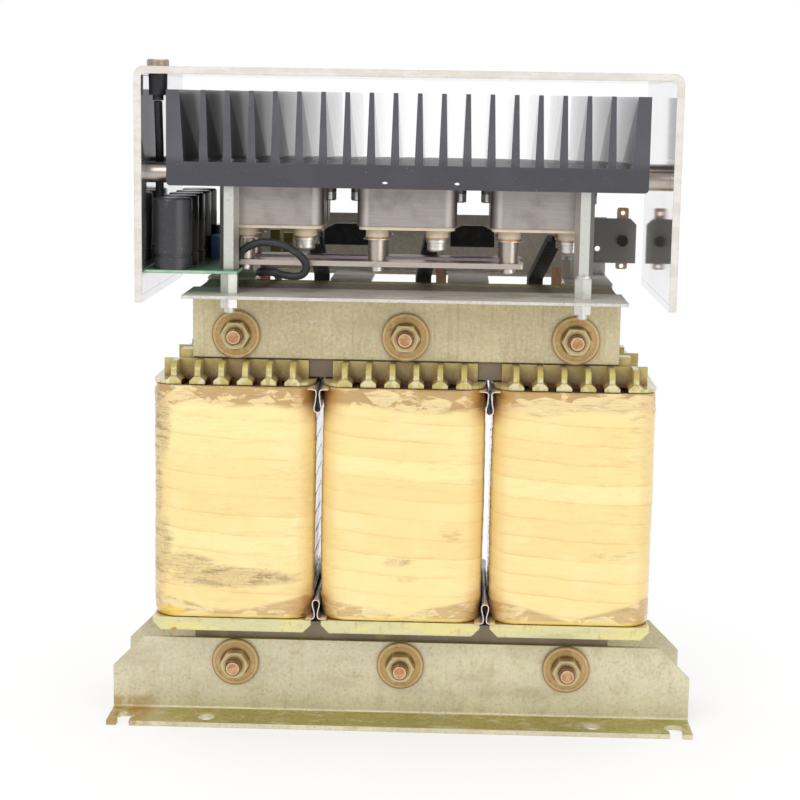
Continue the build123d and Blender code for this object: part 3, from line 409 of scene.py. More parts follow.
def galvanised():
    """Spangled zinc coat, dirty and speckled on top, with painted highlights along the edges."""
    p = Paint("galvanised")
    edge, rounded = p.edges(0.5, 0.02, 0.18)
    top = p.facing("Z").rise(0.5, 0.9)
    spangle = p.cells(7, seed=1)
    fine = p.cells(2.2, seed=2)
    stain = p.noise(20, 5, 0.65, stretch=(0.6, 1, 1), seed=3)
    grit = p.noise(0.9, 4, 0.72, seed=4)
    yellow = p.noise(11, 4, 0.6, stretch=(0.4, 1, 1), seed=5)
    colour = p.layers(
        (0.72, 0.685, 0.64), ((0.84, 0.82, 0.79), spangle * 0.55), ((0.40, 0.36, 0.32), fine * 0.4),
        ((0.72, 0.66, 0.58), top * 0.7), ((0.38, 0.30, 0.22), stain.rise(0.48, 0.68) * top * 0.7),
        ((0.60, 0.49, 0.20), yellow.rise(0.56, 0.70) * top * 0.6),
        ((0.12, 0.095, 0.075), grit.rise(0.56, 0.68) * (0.35 + top * 0.45)),
        ((0.78, 0.76, 0.72), grit.rise(0.40, 0.30) * top * 0.4),
        # The lighter colour at the edges is a painted highlight.
        ((0.82, 0.79, 0.75), edge * 0.7))
    rough = 0.34 + spangle * 0.12 + grit * 0.16
    return p.finish(colour, rough, 0.62 - top * 0.42, p.bump(grit * 0.10 + spangle * 0.03, rounded))


SHEET_MM = 0.5


def laminated_core():
    """Edges of thin sheets stacked along Y, oiled and slightly rusted."""
    p = Paint("laminations")
    sheet = (p.y / SHEET_MM).fraction()
    groove = sheet.between(0.0, 0.16, 0.06)
    uneven = p.noise(0.5, 0, 0.5, stretch=(0.02, 1, 0.02), seed=1)
    stain = p.noise(18, 4, 0.6, seed=2)
    rust = p.noise(5, 4, 0.65, seed=3)
    top = p.noise(9, 4, 0.6, seed=4)
    colour = p.layers(
        (0.33, 0.26, 0.195), ((0.45, 0.37, 0.28), uneven.rise(0.4, 0.62) * 0.6),
        ((0.34, 0.25, 0.16), stain.rise(0.46, 0.68) * 0.6), ((0.54, 0.45, 0.20), top.rise(0.52, 0.70) * 0.6),
        ((0.26, 0.12, 0.05), rust.rise(0.60, 0.74) * 0.5), ((0.06, 0.05, 0.045), groove * 0.55))
    return p.finish(colour, 0.46 + stain * 0.2, 0.55, p.bump(uneven * 0.12 - groove * 0.10))


def nickel(name, tone, rough=0.24, joints=0.0):
    """Plated turned or drawn metal, with faint turning marks round Z and painted edge highlights; the last
    argument sets painted shade where pieces meet, from ambient occlusion.
    """
    p = Paint(name)
    edge, rounded = p.edges(0.35)
    turned = p.noise(0.25, 2, 0.6, stretch=(0.05, 0.05, 1), seed=1)
    bloom = p.noise(5, 3, 0.6, seed=2)
    pit = p.noise(0.9, 2, 0.6, seed=3).rise(0.68, 0.76)
    dark = tuple(v * 0.62 for v in tone)
    light = tuple(min(1.0, v * 1.22) for v in tone)
    # The lighter colour at the edges is a painted highlight.
    colour = p.layers(tone, (dark, bloom.rise(0.55, 0.75) * 0.5), (light, turned.rise(0.5, 0.7) * 0.35),
                      (light, edge * 0.5), ((0.16, 0.13, 0.11), pit * 0.5))
    if joints:
        # Painted shade in the gaps and corners between pieces, from ambient occlusion.
        shut = p.open_to_air(1.6, 4).rise(0.70, 0.40)
        colour = p.mixed(colour, (0.05, 0.04, 0.035), shut * joints)
    height = turned * 0.03 - pit * 0.03
    return p.finish(colour, rough + bloom * 0.10 + turned * 0.05, 0.92, p.bump(height, rounded))


MODULE_PITCH_MM = 64.4


def brushed_case():
    """Drawn module shells: fine brushing along X, scuffs and a few dents, with a painted highlight band and
    painted shade near each side and painted edge highlights.
    """
    p = Paint("module_shell")
    edge, rounded = p.edges(0.8, 0.01, 0.2)
    brush = p.noise(0.22, 3, 0.65, stretch=(0.03, 0.03, 1), seed=1)
    cross = p.noise(0.5, 2, 0.6, stretch=(1, 1, 0.05), seed=2)
    cloud = p.noise(13, 3, 0.55, seed=3)
    scuff = p.noise(1.2, 3, 0.7, seed=4).rise(0.66, 0.76)
    half = MODULE_PITCH_MM / 2
    across = (((p.x + half) / MODULE_PITCH_MM).fraction() * MODULE_PITCH_MM - half).size()
    # Painted light across each shell: a highlight band just inside each side, and painted shade where the
    # shell turns away at its sides.
    painted_highlight_band = across.between(18.6, 20.4, 0.6)
    corner = across.rise(20.4, 22.4)
    colour = p.layers(
        (0.41, 0.365, 0.345), ((0.54, 0.49, 0.465), brush.rise(0.45, 0.66) * 0.5),
        ((0.27, 0.232, 0.215), cloud.rise(0.48, 0.70) * 0.55),
        ((0.42, 0.38, 0.36), cross.rise(0.52, 0.68) * 0.35),
        ((0.66, 0.62, 0.59), painted_highlight_band * 0.55), ((0.14, 0.12, 0.11), corner * 0.6),
        # Painted shade at the sides and painted edge highlights are among these layers.
        ((0.18, 0.15, 0.13), scuff * 0.6), ((0.60, 0.56, 0.53), edge * 0.35))
    return p.finish(colour, 0.36 + brush * 0.12 + cloud * 0.06, 0.88,
                    p.bump(brush * 0.03 + cross * 0.02 - scuff * 0.05, rounded))


FIN_FLOOR_MM, FIN_TOP_MM, SINK_FRONT_MM = 281.6, 315.3, -56.0
DENTS_MM = ((23.8, 0.0, 273.3), (-10.3, 0.0, 273.2))


def anodised():
    """Dark grey extrusion: die lines along Y, scratches and chips; glossy channel walls with a painted
    reflection and a painted diagonal shadow, painted shade low in the channels, and painted highlights along
    the roots and edges.
    """
    p = Paint("anodised_sink")
    edge, rounded = p.edges(0.5, 0.03, 0.3)
    wall = p.facing("X").size().rise(0.6, 0.9)
    upward = p.facing("Z").rise(0.5, 0.9)
    front = p.facing("Y").rise(-0.6, -0.9)
    # A painted reflection of the bright surroundings on the channel walls, fading towards both sides.
    bright = wall * p.x.rise(-92, -8, 0.10, 1.0) * p.x.rise(48, 112, 1.0, 0.45)
    # A painted diagonal shadow across the walls, cast by the next fin.
    slope = (FIN_TOP_MM - p.z) * 1.7 - (p.y - SINK_FRONT_MM)
    shaded = wall * slope.rise(-2, 2)
    # A painted highlight along the root of each wall.
    root = wall * p.z.between(FIN_FLOOR_MM + 0.1, FIN_FLOOR_MM + 1.7, 0.3) * p.x.rise(-108, -80)
    near = [p.from_spot(dent_mm, (1.0, 0.0, 2.2)) for dent_mm in DENTS_MM]
    ragged = p.noise(1.1, 3, 0.7, seed=6) * 1.6
    dent = (near[0].at_most(near[1]) + ragged).rise(2.3, 1.7) * front
    die = p.noise(0.5, 2, 0.6, stretch=(1, 0.01, 1), seed=1)
    cloud = p.noise(24, 4, 0.6, seed=2)
    saw = p.noise(0.7, 2, 0.7, stretch=(0.12, 1, 1), seed=3)
    scratch = p.noise(3.2, 1, 0.5, stretch=(1, 1, 7), seed=4, warp=0.6).rise(0.775, 0.80)
    chip = p.noise(1.3, 2, 0.7, seed=5).rise(0.75, 0.79)
    colour = p.layers(
        (0.092, 0.089, 0.103), ((0.125, 0.121, 0.140), cloud.rise(0.46, 0.70) * 0.6),
        ((0.060, 0.057, 0.069), die.rise(0.48, 0.70) * 0.45),
        ((0.15, 0.145, 0.165), saw.rise(0.55, 0.75) * 0.3),
        # Painted reflection and painted shadow on the walls, then painted shade low in the channels, a
        # painted root highlight and painted edge highlights.
        ((0.56, 0.55, 0.63), bright), ((0.050, 0.048, 0.056), shaded * 0.85),
        ((0.115, 0.112, 0.125), upward * 0.7),
        ((0.040, 0.038, 0.045), p.z.rise(286, 280) * 0.55), ((0.74, 0.74, 0.80), root * 0.85),
        ((0.40, 0.395, 0.43), p.z.rise(FIN_TOP_MM - 0.3, FIN_TOP_MM - 0.1) * upward * 0.6),
        ((0.42, 0.41, 0.43), scratch * 0.6), ((0.78, 0.78, 0.78), chip * 0.85),
        ((0.30, 0.295, 0.32), edge * 0.5), ((0.92, 0.92, 0.92), dent))
    rough = 0.38 + cloud * 0.10 + saw * 0.06 - bright * 0.24 + shaded * 0.1
    metal = 0.35 + bright * 0.5 - shaded * 0.2
    normal = p.bump(die * 0.05 + saw * 0.03 - chip * 0.05, rounded)
    coat = 0.12 + bright * 0.8 - shaded * 0.1
    return p.finish(colour, rough, metal, normal, Coat_Weight=coat, Coat_Roughness=0.07)


def cover_metal():
    """Bright sheet: mirror-like faces with rolling and scribed lines, and pale sawn edges with grime."""
    p = Paint("cover_sheet")
    _, rounded = p.edges(0.7, 0.02, 0.3)
    cut = p.facing("Y").size().rise(0.6, 0.9)
    roll = p.noise(0.9, 2, 0.6, stretch=(1, 0.02, 1), seed=1)
    smear = p.noise(28, 4, 0.6, seed=2)
    dust = p.noise(0.7, 3, 0.7, seed=3).rise(0.60, 0.74)
    grime = p.noise(6, 4, 0.65, stretch=(0.35, 1, 1), seed=4)
    rub = p.noise(2.2, 1, 0.5, stretch=(0.3, 0.12, 3), seed=5).rise(0.72, 0.76)
    face = p.layers(
        (0.79, 0.795, 0.815), ((0.70, 0.70, 0.72), smear.rise(0.46, 0.7) * 0.5),
        ((0.92, 0.92, 0.93), roll.rise(0.5, 0.7) * 0.4), ((0.55, 0.54, 0.53), rub * 0.35))
    sawn = p.layers(
        (0.66, 0.61, 0.545), ((0.74, 0.715, 0.68), grime.rise(0.42, 0.60) * 0.8),
        ((0.42, 0.365, 0.30), dust * 0.4), ((0.52, 0.44, 0.35), grime.rise(0.62, 0.74) * 0.6))
    low_line, rear_line = ((place - at).size().rise(0.45, 0.15) for place, at in ((p.z, 218.4), (p.y, 71.5)))
    line = low_line.at_least(rear_line)
    colour = p.layers(face, ((0.30, 0.29, 0.30), line * 0.55), (sawn, cut))
    rough = 0.03 + smear * 0.06 + roll * 0.03 + cut * 0.45
    metal = 0.84 - cut * 0.69
    return p.finish(colour, rough, metal, p.bump(roll * 0.01 + dust * cut * 0.06, rounded))


def copper(name, tone):
    """Bare copper with brown tarnish."""
    p = Paint(name)
    edge, rounded = p.edges(0.3)
    tarnish = p.noise(3, 4, 0.6, seed=1)
    grain = p.noise(0.3, 2, 0.6, seed=2)
    dark = tuple(v * 0.45 for v in tone)
    # The lighter colour at the edges is a painted highlight.
    colour = p.layers(tone, (dark, tarnish.rise(0.48, 0.70) * 0.7), ((0.85, 0.66, 0.52), edge * 0.4))
    return p.finish(colour, 0.30 + tarnish * 0.25, 0.9, p.bump(grain * 0.03, rounded))


# Plastics, board and sleeves

def comb_plastic():
    """Olive moulding under varnish, darker brown between the ribs from varnish pooled in the hollows and
    painted shade, painted varnish highlights on the feet and edges, yellow plates and a rust drip.
    """
    p = Paint("bobbin_moulding")
    edge, rounded = p.edges(0.7, 0.02, 0.35)
    # Occlusion darkens the hollows between the ribs: varnish pooled there, and painted shade.
    shut = p.open_to_air(9, 6).rise(0.72, 0.30)
    cloud = p.noise(9, 4, 0.55, seed=1)
    run = p.noise(3.0, 4, 0.62, stretch=(1, 1, 0.5), seed=2)
    drop = p.noise(1.2, 3, 0.6, seed=3)
    foot = p.z.between(172.6, 178.6, 1.2)
    # A painted varnish highlight on the feet.
    white = run.rise(0.44, 0.58) * foot
    low = p.z.rise(60, 56)
    brown = p.noise(4, 4, 0.65, seed=4)
    wet = p.noise(11, 4, 0.6, stretch=(0.35, 1, 1.6), seed=5)
    drip = p.from_spot((-113.0, 0.0, 48.625), (1.0, 0.0, 0.8))
    colour = p.layers(
        (0.52, 0.42, 0.115), ((0.64, 0.55, 0.20), cloud.rise(0.42, 0.66) * 0.7),
        ((0.66, 0.63, 0.36), low * 0.8), ((0.80, 0.68, 0.20), low * wet.rise(0.48, 0.62) * 0.6),
        ((0.50, 0.47, 0.22), low * wet.rise(0.46, 0.34) * 0.7),
        ((0.40, 0.30, 0.08), run.rise(0.55, 0.75) * 0.5),
        ((0.50, 0.20, 0.03), (drip + drop * 2.0).rise(3.1, 2.1) * low),
        ((0.27, 0.115, 0.02), shut * 0.8), ((0.26, 0.085, 0.02), p.z.rise(177, 173) * shut),
        ((0.46, 0.20, 0.04), brown.rise(0.58, 0.70) * 0.35),
        # Painted highlights on the edges and on the feet.
        ((0.76, 0.71, 0.42), edge * 0.25), ((0.88, 0.84, 0.62), white * (1.0 - shut) * 0.5))
    return p.finish(colour, 0.24 + cloud * 0.14, 0.0, p.bump(run * 0.26 + drop * 0.14, rounded),
                    Coat_Weight=0.6, Coat_Roughness=0.12)


def dark_winding():
    """Varnished turns of wire seen between the ribs."""
    p = Paint("winding_varnish")
    wire_mm = 1.3
    turn = (p.z * (2 * math.pi / wire_mm) + p.noise(3, 2, seed=1) * 2.5).sine()
    cloud = p.noise(4, 3, 0.6, seed=2)
    colour = p.layers((0.055, 0.016, 0.008), ((0.20, 0.055, 0.022), turn.rise(0.2, 0.9) * 0.6),
                      ((0.32, 0.10, 0.04), cloud.rise(0.58, 0.72) * 0.5))
    return p.finish(colour, 0.24 + cloud * 0.2, 0.1, p.bump(turn * 0.3), Coat_Weight=0.6, Coat_Roughness=0.12)


def board_laminate():
    """Green control board: traces and pads as relief under the mask, pale sawn edge."""
    p = Paint("control_board_mask")
    grid_mm = 2.54
    lane, cross = ((place / grid_mm).fraction().between(0.30, 0.62, 0.05) for place in (p.x, p.y))
    pick = p.cells(9, seed=1).rise(0.46, 0.50)
    trace = lane * pick + cross * (1.0 - pick)
    side = p.z.between(228.9, 230.1, 0.1)
    grime = p.noise(7, 4, 0.6, seed=2)
    flat = p.layers((0.045, 0.165, 0.075), ((0.075, 0.245, 0.115), trace * 0.75),
                    ((0.20, 0.17, 0.12), grime.rise(0.55, 0.74) * 0.4))
    upright = p.facing("Z").size().rise(0.9, 0.6) * side
    colour = p.mixed(flat, p.mixed((0.25, 0.43, 0.30), (0.40, 0.50, 0.36), grime.rise(0.4, 0.6)), upright)
    return p.finish(colour, 0.30 + grime * 0.25, 0.0, p.bump(trace * 0.06))


def plastic(name, tone, rough=0.35, coat=0.2, grit=0.06):
    """Moulded plastic: uneven gloss, dust and painted edge highlights."""
    p = Paint(name)
    edge, rounded = p.edges(0.4)
    cloud = p.noise(8, 3, 0.55, seed=1)
    fine = p.noise(0.5, 3, 0.6, seed=2)
    dust = p.noise(2.4, 4, 0.7, seed=3).rise(0.56, 0.76)
    dusty = tuple(v * 0.75 + 0.16 for v in tone)
    light = tuple(min(1.0, v * 1.35 + 0.03) for v in tone)
    dark = tuple(v * 0.72 for v in tone)
    # The lighter colour at the edges is a painted highlight.
    colour = p.layers(tone, (dark, cloud.rise(0.52, 0.72) * 0.5), (dusty, dust * 0.28), (light, edge * 0.5))
    return p.finish(colour, rough + cloud * 0.12 + dust * 0.12, 0.0, p.bump(fine * grit, rounded),
                    Coat_Weight=coat, Coat_Roughness=0.2)


def rubber(name, weave=0.0):
    """Black flexible covering with a grey bloom; weave is the pitch of a braid in millimetres."""
    p = Paint(name)
    bloom = p.noise(6, 4, 0.6, seed=1)
    fine = p.noise(0.4, 3, 0.6, seed=2)
    dust = p.noise(2.0, 4, 0.7, seed=3).rise(0.58, 0.76)
    height = fine * 0.06
    if weave:
        turns = 2 * math.pi / weave
        height = height + ((p.x + p.z) * turns).sine() * ((p.x - p.z) * turns).sine() * 0.14
    colour = p.layers((0.018, 0.018, 0.020), ((0.045, 0.045, 0.048), bloom.rise(0.45, 0.7)),
                      ((0.16, 0.155, 0.15), dust * 0.25))
    return p.finish(colour, 0.42 + bloom * 0.16, 0.0, p.bump(height))


def film_sheet():
    """Clear film gone grey, pale and pinkish where it is seen end on."""
    p = Paint("barrier_film")
    end = p.facing("Y").size().rise(0.6, 0.9)
    cloud = p.noise(5, 3, 0.6, seed=1)
    crease = p.noise(2.2, 3, 0.6, stretch=(1, 0.3, 1), seed=2)
    body = p.mixed((0.24, 0.21, 0.21), (0.42, 0.36, 0.34), cloud.rise(0.4, 0.65))
    colour = p.layers(body, ((0.88, 0.72, 0.66), end), ((0.78, 0.58, 0.30), from_gap(p).rise(2.0, 3.0)))
    return p.finish(colour, 0.22 + crease * 0.15, 0.0, p.bump(crease * 0.15), Alpha=0.88 + end * 0.12,
                    Coat_Weight=0.4, Coat_Roughness=0.1)


def tape():
    """Cream tape in turns under clear folded film, amber at the gaps, dirty and stained on one side."""
    p = Paint("coil_tape")
    phase, film, amber, dirt, tone, corner = (
        p.attribute(n) for n in ("phase", "film", "amber", "dirt", "tone", "corner"))
    turn = phase.fraction()
    cloud = p.noise(22, 4, 0.55, seed=1)
    wisp = p.noise(7, 4, 0.6, stretch=(0.5, 0.5, 3), seed=2)
    fibre = p.noise(0.9, 3, 0.6, stretch=(0.12, 0.12, 2), seed=3)
    grit = p.noise(1.1, 5, 0.75, stretch=(0.8, 1, 1.3), seed=4)
    smear = p.noise(5.5, 5, 0.7, stretch=(0.45, 0.6, 2.4), seed=5)
    scratch = p.noise(2.2, 4, 0.7, stretch=(0.14, 0.2, 4), seed=8)
    pale = p.noise(8.0, 4, 0.62, stretch=(0.6, 0.6, 1.5), seed=6, warp=0.5)
    glint = p.noise(5.0, 3, 0.6, stretch=(0.35, 0.5, 2.4), seed=9, warp=0.8)
    gap_wall = from_gap(p).rise(3.2, 2.2)
    speck = p.noise(0.8, 2, 0.6, seed=7).rise(0.765, 0.81)
    uneven = p.noise(30, 3, 0.6, stretch=(1, 1, 2), seed=10).rise(0.36, 0.62, 0.15, 1.0)
    lap = turn.between(0.0, 0.030, 0.016) + turn.between(0.970, 1.0, 0.016)
    shade = turn.rise(0.0, 0.30, 1.0, 0.0)
    second = (phase + 0.42 + cloud * 0.1).fraction().between(0.0, 0.035, 0.02)
    lower_part = p.z.rise(170.0, 163.5) * p.z.rise(100, 120)
    stain = p.from_spot((-115.0, -40.0, 59.12), (1.0, 0.2, 3.4))
    folded = p.cells(11, (0.8, 0.8, 1.5), seed=11)
    body = p.layers(
        (0.915, 0.725, 0.315), ((0.95, 0.79, 0.375), tone * 0.7), ((0.885, 0.65, 0.27), (1.0 - tone) * 0.6),
        ((0.955, 0.80, 0.42), cloud.rise(0.48, 0.68) * 0.4),
        ((0.885, 0.635, 0.30), wisp.rise(0.52, 0.74) * 0.3),
        ((0.86, 0.60, 0.25), shade * uneven * 0.40), ((0.70, 0.44, 0.19), lap * uneven * 0.36),
        ((0.82, 0.58, 0.27), second * uneven * 0.2), ((0.84, 0.60, 0.235), corner * 0.45))
    clear = p.layers(
        (0.53, 0.345, 0.135), ((0.70, 0.51, 0.23), p.z.rise(90, 80) * 0.6),
        # Painted highlights on the folded film: pale patches on the folds and facets, and small glints.
        ((0.88, 0.70, 0.35), (pale * 0.62 + folded * 0.38 + lower_part * 0.05).rise(0.50, 0.54) * 0.85),
        ((0.50, 0.32, 0.15), smear.rise(0.52, 0.66) * 0.55),
        ((0.42, 0.27, 0.14), scratch.rise(0.56, 0.68) * 0.4),
        ((0.93, 0.83, 0.62), glint.rise(0.62, 0.70) * 0.6),
        ((0.86, 0.62, 0.12), p.z.between(54.0, 57.9, 0.5) * 0.7))
    worked = grit.rise(0.52, 0.66) * 0.42 + smear.rise(0.48, 0.66) * 0.55 + scratch.rise(0.54, 0.66) * 0.4
    mark = dirt * worked
    colour = p.layers(
        p.mixed(body, clear, film), ((0.58, 0.25, 0.045), amber * (0.75 + cloud * 0.3)),
        ((0.88, 0.60, 0.07), (stain + smear * 5.0).rise(13.0, 6.0) * 0.8),
        ((0.60, 0.43, 0.21), dirt.rise(0.35, 1.1) * 0.5),
        ((0.19, 0.13, 0.08), mark.at_most(0.85)), ((0.35, 0.26, 0.16), speck * 0.45))
    rough = 0.28 + cloud * 0.08 - film * 0.10 + dirt * 0.12 - gap_wall * 0.14
    height = fibre * 0.04 + wisp * 0.08 + (pale + glint * 0.6) * film * 0.6 - lap * 0.05
    return p.finish(colour, rough, 0.0, p.bump(height), Coat_Weight=0.45 + gap_wall * 0.55,
                    Coat_Roughness=0.06, Subsurface_Weight=0.12, Subsurface_Scale=0.003,
                    Subsurface_Radius=(1.0, 0.6, 0.25))


# Taped coils: each outer wrap as one skin with laps, creases and tucked rims

COIL = {"width": 81.0, "depth": 91.0, "corner": 14.0, "low": 56.6, "high": 172.0}
TAPE_TURNS = 12
TAPE_PITCH_MM = (COIL["high"] - COIL["low"]) / TAPE_TURNS

# How far the tape falls, in turns, at shares of the way round: mostly across the front
FALL_AT = (0.0, 0.36, 0.43, 0.50, 0.60, 1.0)
FALL_TO = (0.0, 0.16, 0.42, 0.66, 0.74, 1.0)

# Faces round a coil and rows up it, and each rim's insets and heights from the wrap's end
WRAP_AROUND, WRAP_UP = 340, 200
RIM_LOW = ((-4.0, 5.0), (-4.0, -0.75), (-1.8, -0.8), (-0.5, -0.55))
RIM_HIGH = ((-0.5, 0.35), (-1.8, 0.55), (-4.0, 0.5), (-4.0, -6.0))
SKIN_INSET_MM, SKIN_MOST_MM = 0.5, 0.75


def value_noise(places, size, seed):
    """Smooth lattice noise from minus one to one."""
    scaled = places / size
    cell = np.floor(scaled).astype(np.int64)
    part = scaled - cell
    part = part * part * (3 - 2 * part)
    total = np.zeros(len(places))
    for corner in range(2 ** places.shape[1]):
        pick = np.array([(corner >> axis) & 1 for axis in range(places.shape[1])])
        at = cell + pick
        key = np.full(len(places), seed * 7919 + 17, np.uint64)
        for axis in range(places.shape[1]):
            key = (key ^ (at[:, axis].astype(np.uint64) * np.uint64(0x9E3779B97F4A7C15 + 2 * axis)))
            key = key * np.uint64(0xBF58476D1CE4E5B9)
            key = key ^ (key >> np.uint64(29))
        weight = np.prod(np.where(pick, part, 1 - part), axis=1)
        total += weight * ((key >> np.uint64(40)).astype(float) / 2 ** 23 - 1)
    return total


def layered_noise(places, size, seed, octaves=3):
    """Lattice noise with finer and weaker layers on top."""
    total, gain = np.zeros(len(places)), 1.0
    for octave in range(octaves):
        total += gain * value_noise(places, size / 2 ** octave, seed + octave)
        gain /= 2
    return total


def rounded_outline(half_x, half_y, corner, count):
    """Points and outward normals round a rounded rectangle, from the back's middle and even in length."""
    straight_x, straight_y = 2 * (half_x - corner), 2 * (half_y - corner)
    arc = math.pi / 2 * corner
    lengths = [straight_x / 2, arc, straight_y, arc, straight_x, arc, straight_y, arc, straight_x / 2]
    starts = np.concatenate([[0], np.cumsum(lengths)])
    corners = ((-1, 1), (-1, -1), (1, -1), (1, 1))
    out = np.zeros((count, 4))
    for i, spot in enumerate(np.arange(count) / count * sum(lengths)):
        leg = min(int(np.searchsorted(starts, spot, side="right")) - 1, 8)
        t = spot - starts[leg]
        if leg % 2:
            cx, cy = corners[leg // 2]
            angle = math.pi / 2 * (1 + leg // 2) + t / corner
            nx, ny = math.cos(angle), math.sin(angle)
            out[i] = (cx * (half_x - corner) + corner * nx, cy * (half_y - corner) + corner * ny, nx, ny)
        else:
            out[i] = {
                0: (-t, half_y, 0, 1),
                2: (-half_x, half_y - corner - t, -1, 0),
                4: (-half_x + corner + t, -half_y, 0, -1),
                6: (half_x, -half_y + corner + t, 1, 0),
                8: (half_x - corner - t, half_y, 0, 1)}[leg]
    return out


def wrap_rows():
    """Each row's inset, its height and its share of the relief, from the low rim up to the high one."""
    low, high = COIL["low"], COIL["high"]
    wall = low + 0.2 + (high - low - 0.4) * np.linspace(0, 1, WRAP_UP)
    rows = [(inset, low + z, 0.0) for inset, z in RIM_LOW]
    rows += [(0.0, z, 1.0) for z in wall]
    rows += [(inset, high + z, 0.0) for inset, z in RIM_HIGH]
    return np.array(rows)


def faded(away, reach, start=1.0):
    """From start at no distance down to nothing, never over one."""
    return np.clip(start - away / reach, 0, 1)


def wrap_points(centre_x):
    """Every point of a skin before its relief: place, normal, share of the relief, distance from the ends."""
    half_x, half_y = COIL["width"] / 2 - SKIN_INSET_MM, COIL["depth"] / 2 - SKIN_INSET_MM
    ring = rounded_outline(half_x, half_y, COIL["corner"], WRAP_AROUND)
    rows = wrap_rows()
    at = SimpleNamespace()
    at.round = np.tile(np.arange(WRAP_AROUND) / WRAP_AROUND, len(rows))
    at.inset, at.z, at.live = (np.repeat(rows[:, i], WRAP_AROUND) for i in range(3))
    at.x, at.y, at.nx, at.ny = (np.tile(ring[:, i], len(rows)) for i in range(4))
    at.place = np.stack([at.x + centre_x, at.y, at.z], 1)
    at.from_top, at.from_low = COIL["high"] - at.z, at.z - COIL["low"]
    at.side = np.abs(at.nx)
    return at


def wrap_turns(at, seed):
    """Place within the turns of tape, tone of each turn, and the film with ragged edges at both ends."""
    wobble = value_noise(at.place, 36, seed) + 0.3 * value_noise(at.place, 9, seed + 3)
    phase = (at.from_low + wobble) / TAPE_PITCH_MM + np.interp(at.round, FALL_AT, FALL_TO)
    along = (at.round - np.floor(phase))[:, None]
    tone = np.clip(0.5 + 0.9 * value_noise(along, 0.83, seed + 5), 0, 1)
    level = at.place * (1, 1, 0)
    top_edge = 10.0 + 3.0 * value_noise(level, 17, seed + 9)
    low_edge = 3.0 + 9.0 * np.clip(np.abs(at.x) / 36, 0, 1) + 1.5 * value_noise(level, 12, seed + 11)
    top_film = np.clip((top_edge - at.from_top) / 2.4, 0, 1)
    low_film = np.clip((low_edge - at.from_low) / 1.6, 0, 1)
    return phase, tone, np.maximum(top_film, low_film)


def wrap_relief(at, phase, film, seed):
    """How far each point stands out: laps, swelling, folds in the film, fuller sides and tucked ends."""
    lap = phase - np.floor(phase)
    folds = layered_noise(at.place * (1, 1, 1.4), 8.0, seed + 20)
    ridges = 1 - np.abs(layered_noise(at.place * (1, 1, 0.7), 11, seed + 30, 2))
    swell = 0.35 * value_noise(at.place, 40, seed + 40) + 0.12 * value_noise(at.place, 12, seed + 41)
    out = 0.24 * (lap - 0.5) + swell + film * (0.42 * folds + 0.35 * (ridges - 0.6))
    waist = np.sin(np.pi * np.clip(at.from_low / (COIL["high"] - COIL["low"]), 0, 1))
    fuller = np.where(np.abs(at.place[:, 0]) < COIL_PITCH_MM, 0.5, 0.1)
    bend = np.clip(np.abs(at.nx * at.ny) * 2, 0, 1)
    top_tuck = faded(at.from_top, 5.5) ** 2 * 0.6
    low_tuck = faded(at.from_low, 6.0) ** 2 * (0.5 + 0.6 * bend)
    out = (out + at.side * fuller * waist - top_tuck - low_tuck) * at.live
    return np.minimum(out, SKIN_MOST_MM) + (at.inset - (1 - at.live) * 0.4)


def wrap_marks(at, centre_x, seed, dirty):
    """Amber beside the gaps near the film loops, shade at the corners, and dirt on the marked spots."""
    gap_side = at.side * faded(np.abs(at.y + 38), 26, 1.15) + at.side * faded(np.abs(at.y - 38), 26, 1.15)
    near_loop = faded(np.abs(at.from_top - 5), 13) + 0.9 * faded(np.abs(at.from_low - 5), 12)
    outer_side = at.nx * centre_x > 0
    amber = np.clip(gap_side * (0.05 + near_loop), 0, 1) * np.where(outer_side, 0.25, 1.0)
    corner = np.clip((np.abs(at.x) - 32.0) / 2.0, 0, 1) * (0.55 + 0.45 * np.clip(at.side, 0, 1))
    dirt = 0.12 + 0.10 * value_noise(at.place, 22, seed + 60)
    for dx, dy, dz, rx, ry, rz, amount in dirty:
        away = ((at.x - dx) / rx) ** 2 + ((at.y - dy) / ry) ** 2 + ((at.z - dz) / rz) ** 2
        dirt = np.maximum(dirt, amount * np.clip(1.3 - away, 0, 1))
    return amber, corner, dirt


def make_wrap(name, node, centre_x, seed, dirty):
    """One coil's skin, with attributes for its material."""
    at = wrap_points(centre_x)
    phase, tone, film = wrap_turns(at, seed)
    out = wrap_relief(at, phase, film, seed)
    amber, corner, dirt = wrap_marks(at, centre_x, seed, dirty)
    verts = np.stack([at.x + centre_x + at.nx * out, at.y + at.ny * out, at.z], 1)
    near = np.arange(len(verts)).reshape(-1, WRAP_AROUND)
    far = np.roll(near, -1, 0)
    faces = np.stack([near, np.roll(near, -1, 1), np.roll(far, -1, 1), far], -1).reshape(-1, 4)
    mesh = bpy.data.meshes.new(name)
    mesh.from_pydata((verts * MM).tolist(), [], faces.tolist())
    mesh.shade_smooth()
    fields = {"phase": phase, "film": film, "amber": amber, "dirt": dirt, "tone": tone, "corner": corner}
    for key, values in fields.items():
        mesh.attributes.new(key, "FLOAT", "POINT").data.foreach_set("value", values.astype(np.float32))
    piece = linked(name, mesh)
    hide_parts(node)
    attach(piece, "root")
    return piece


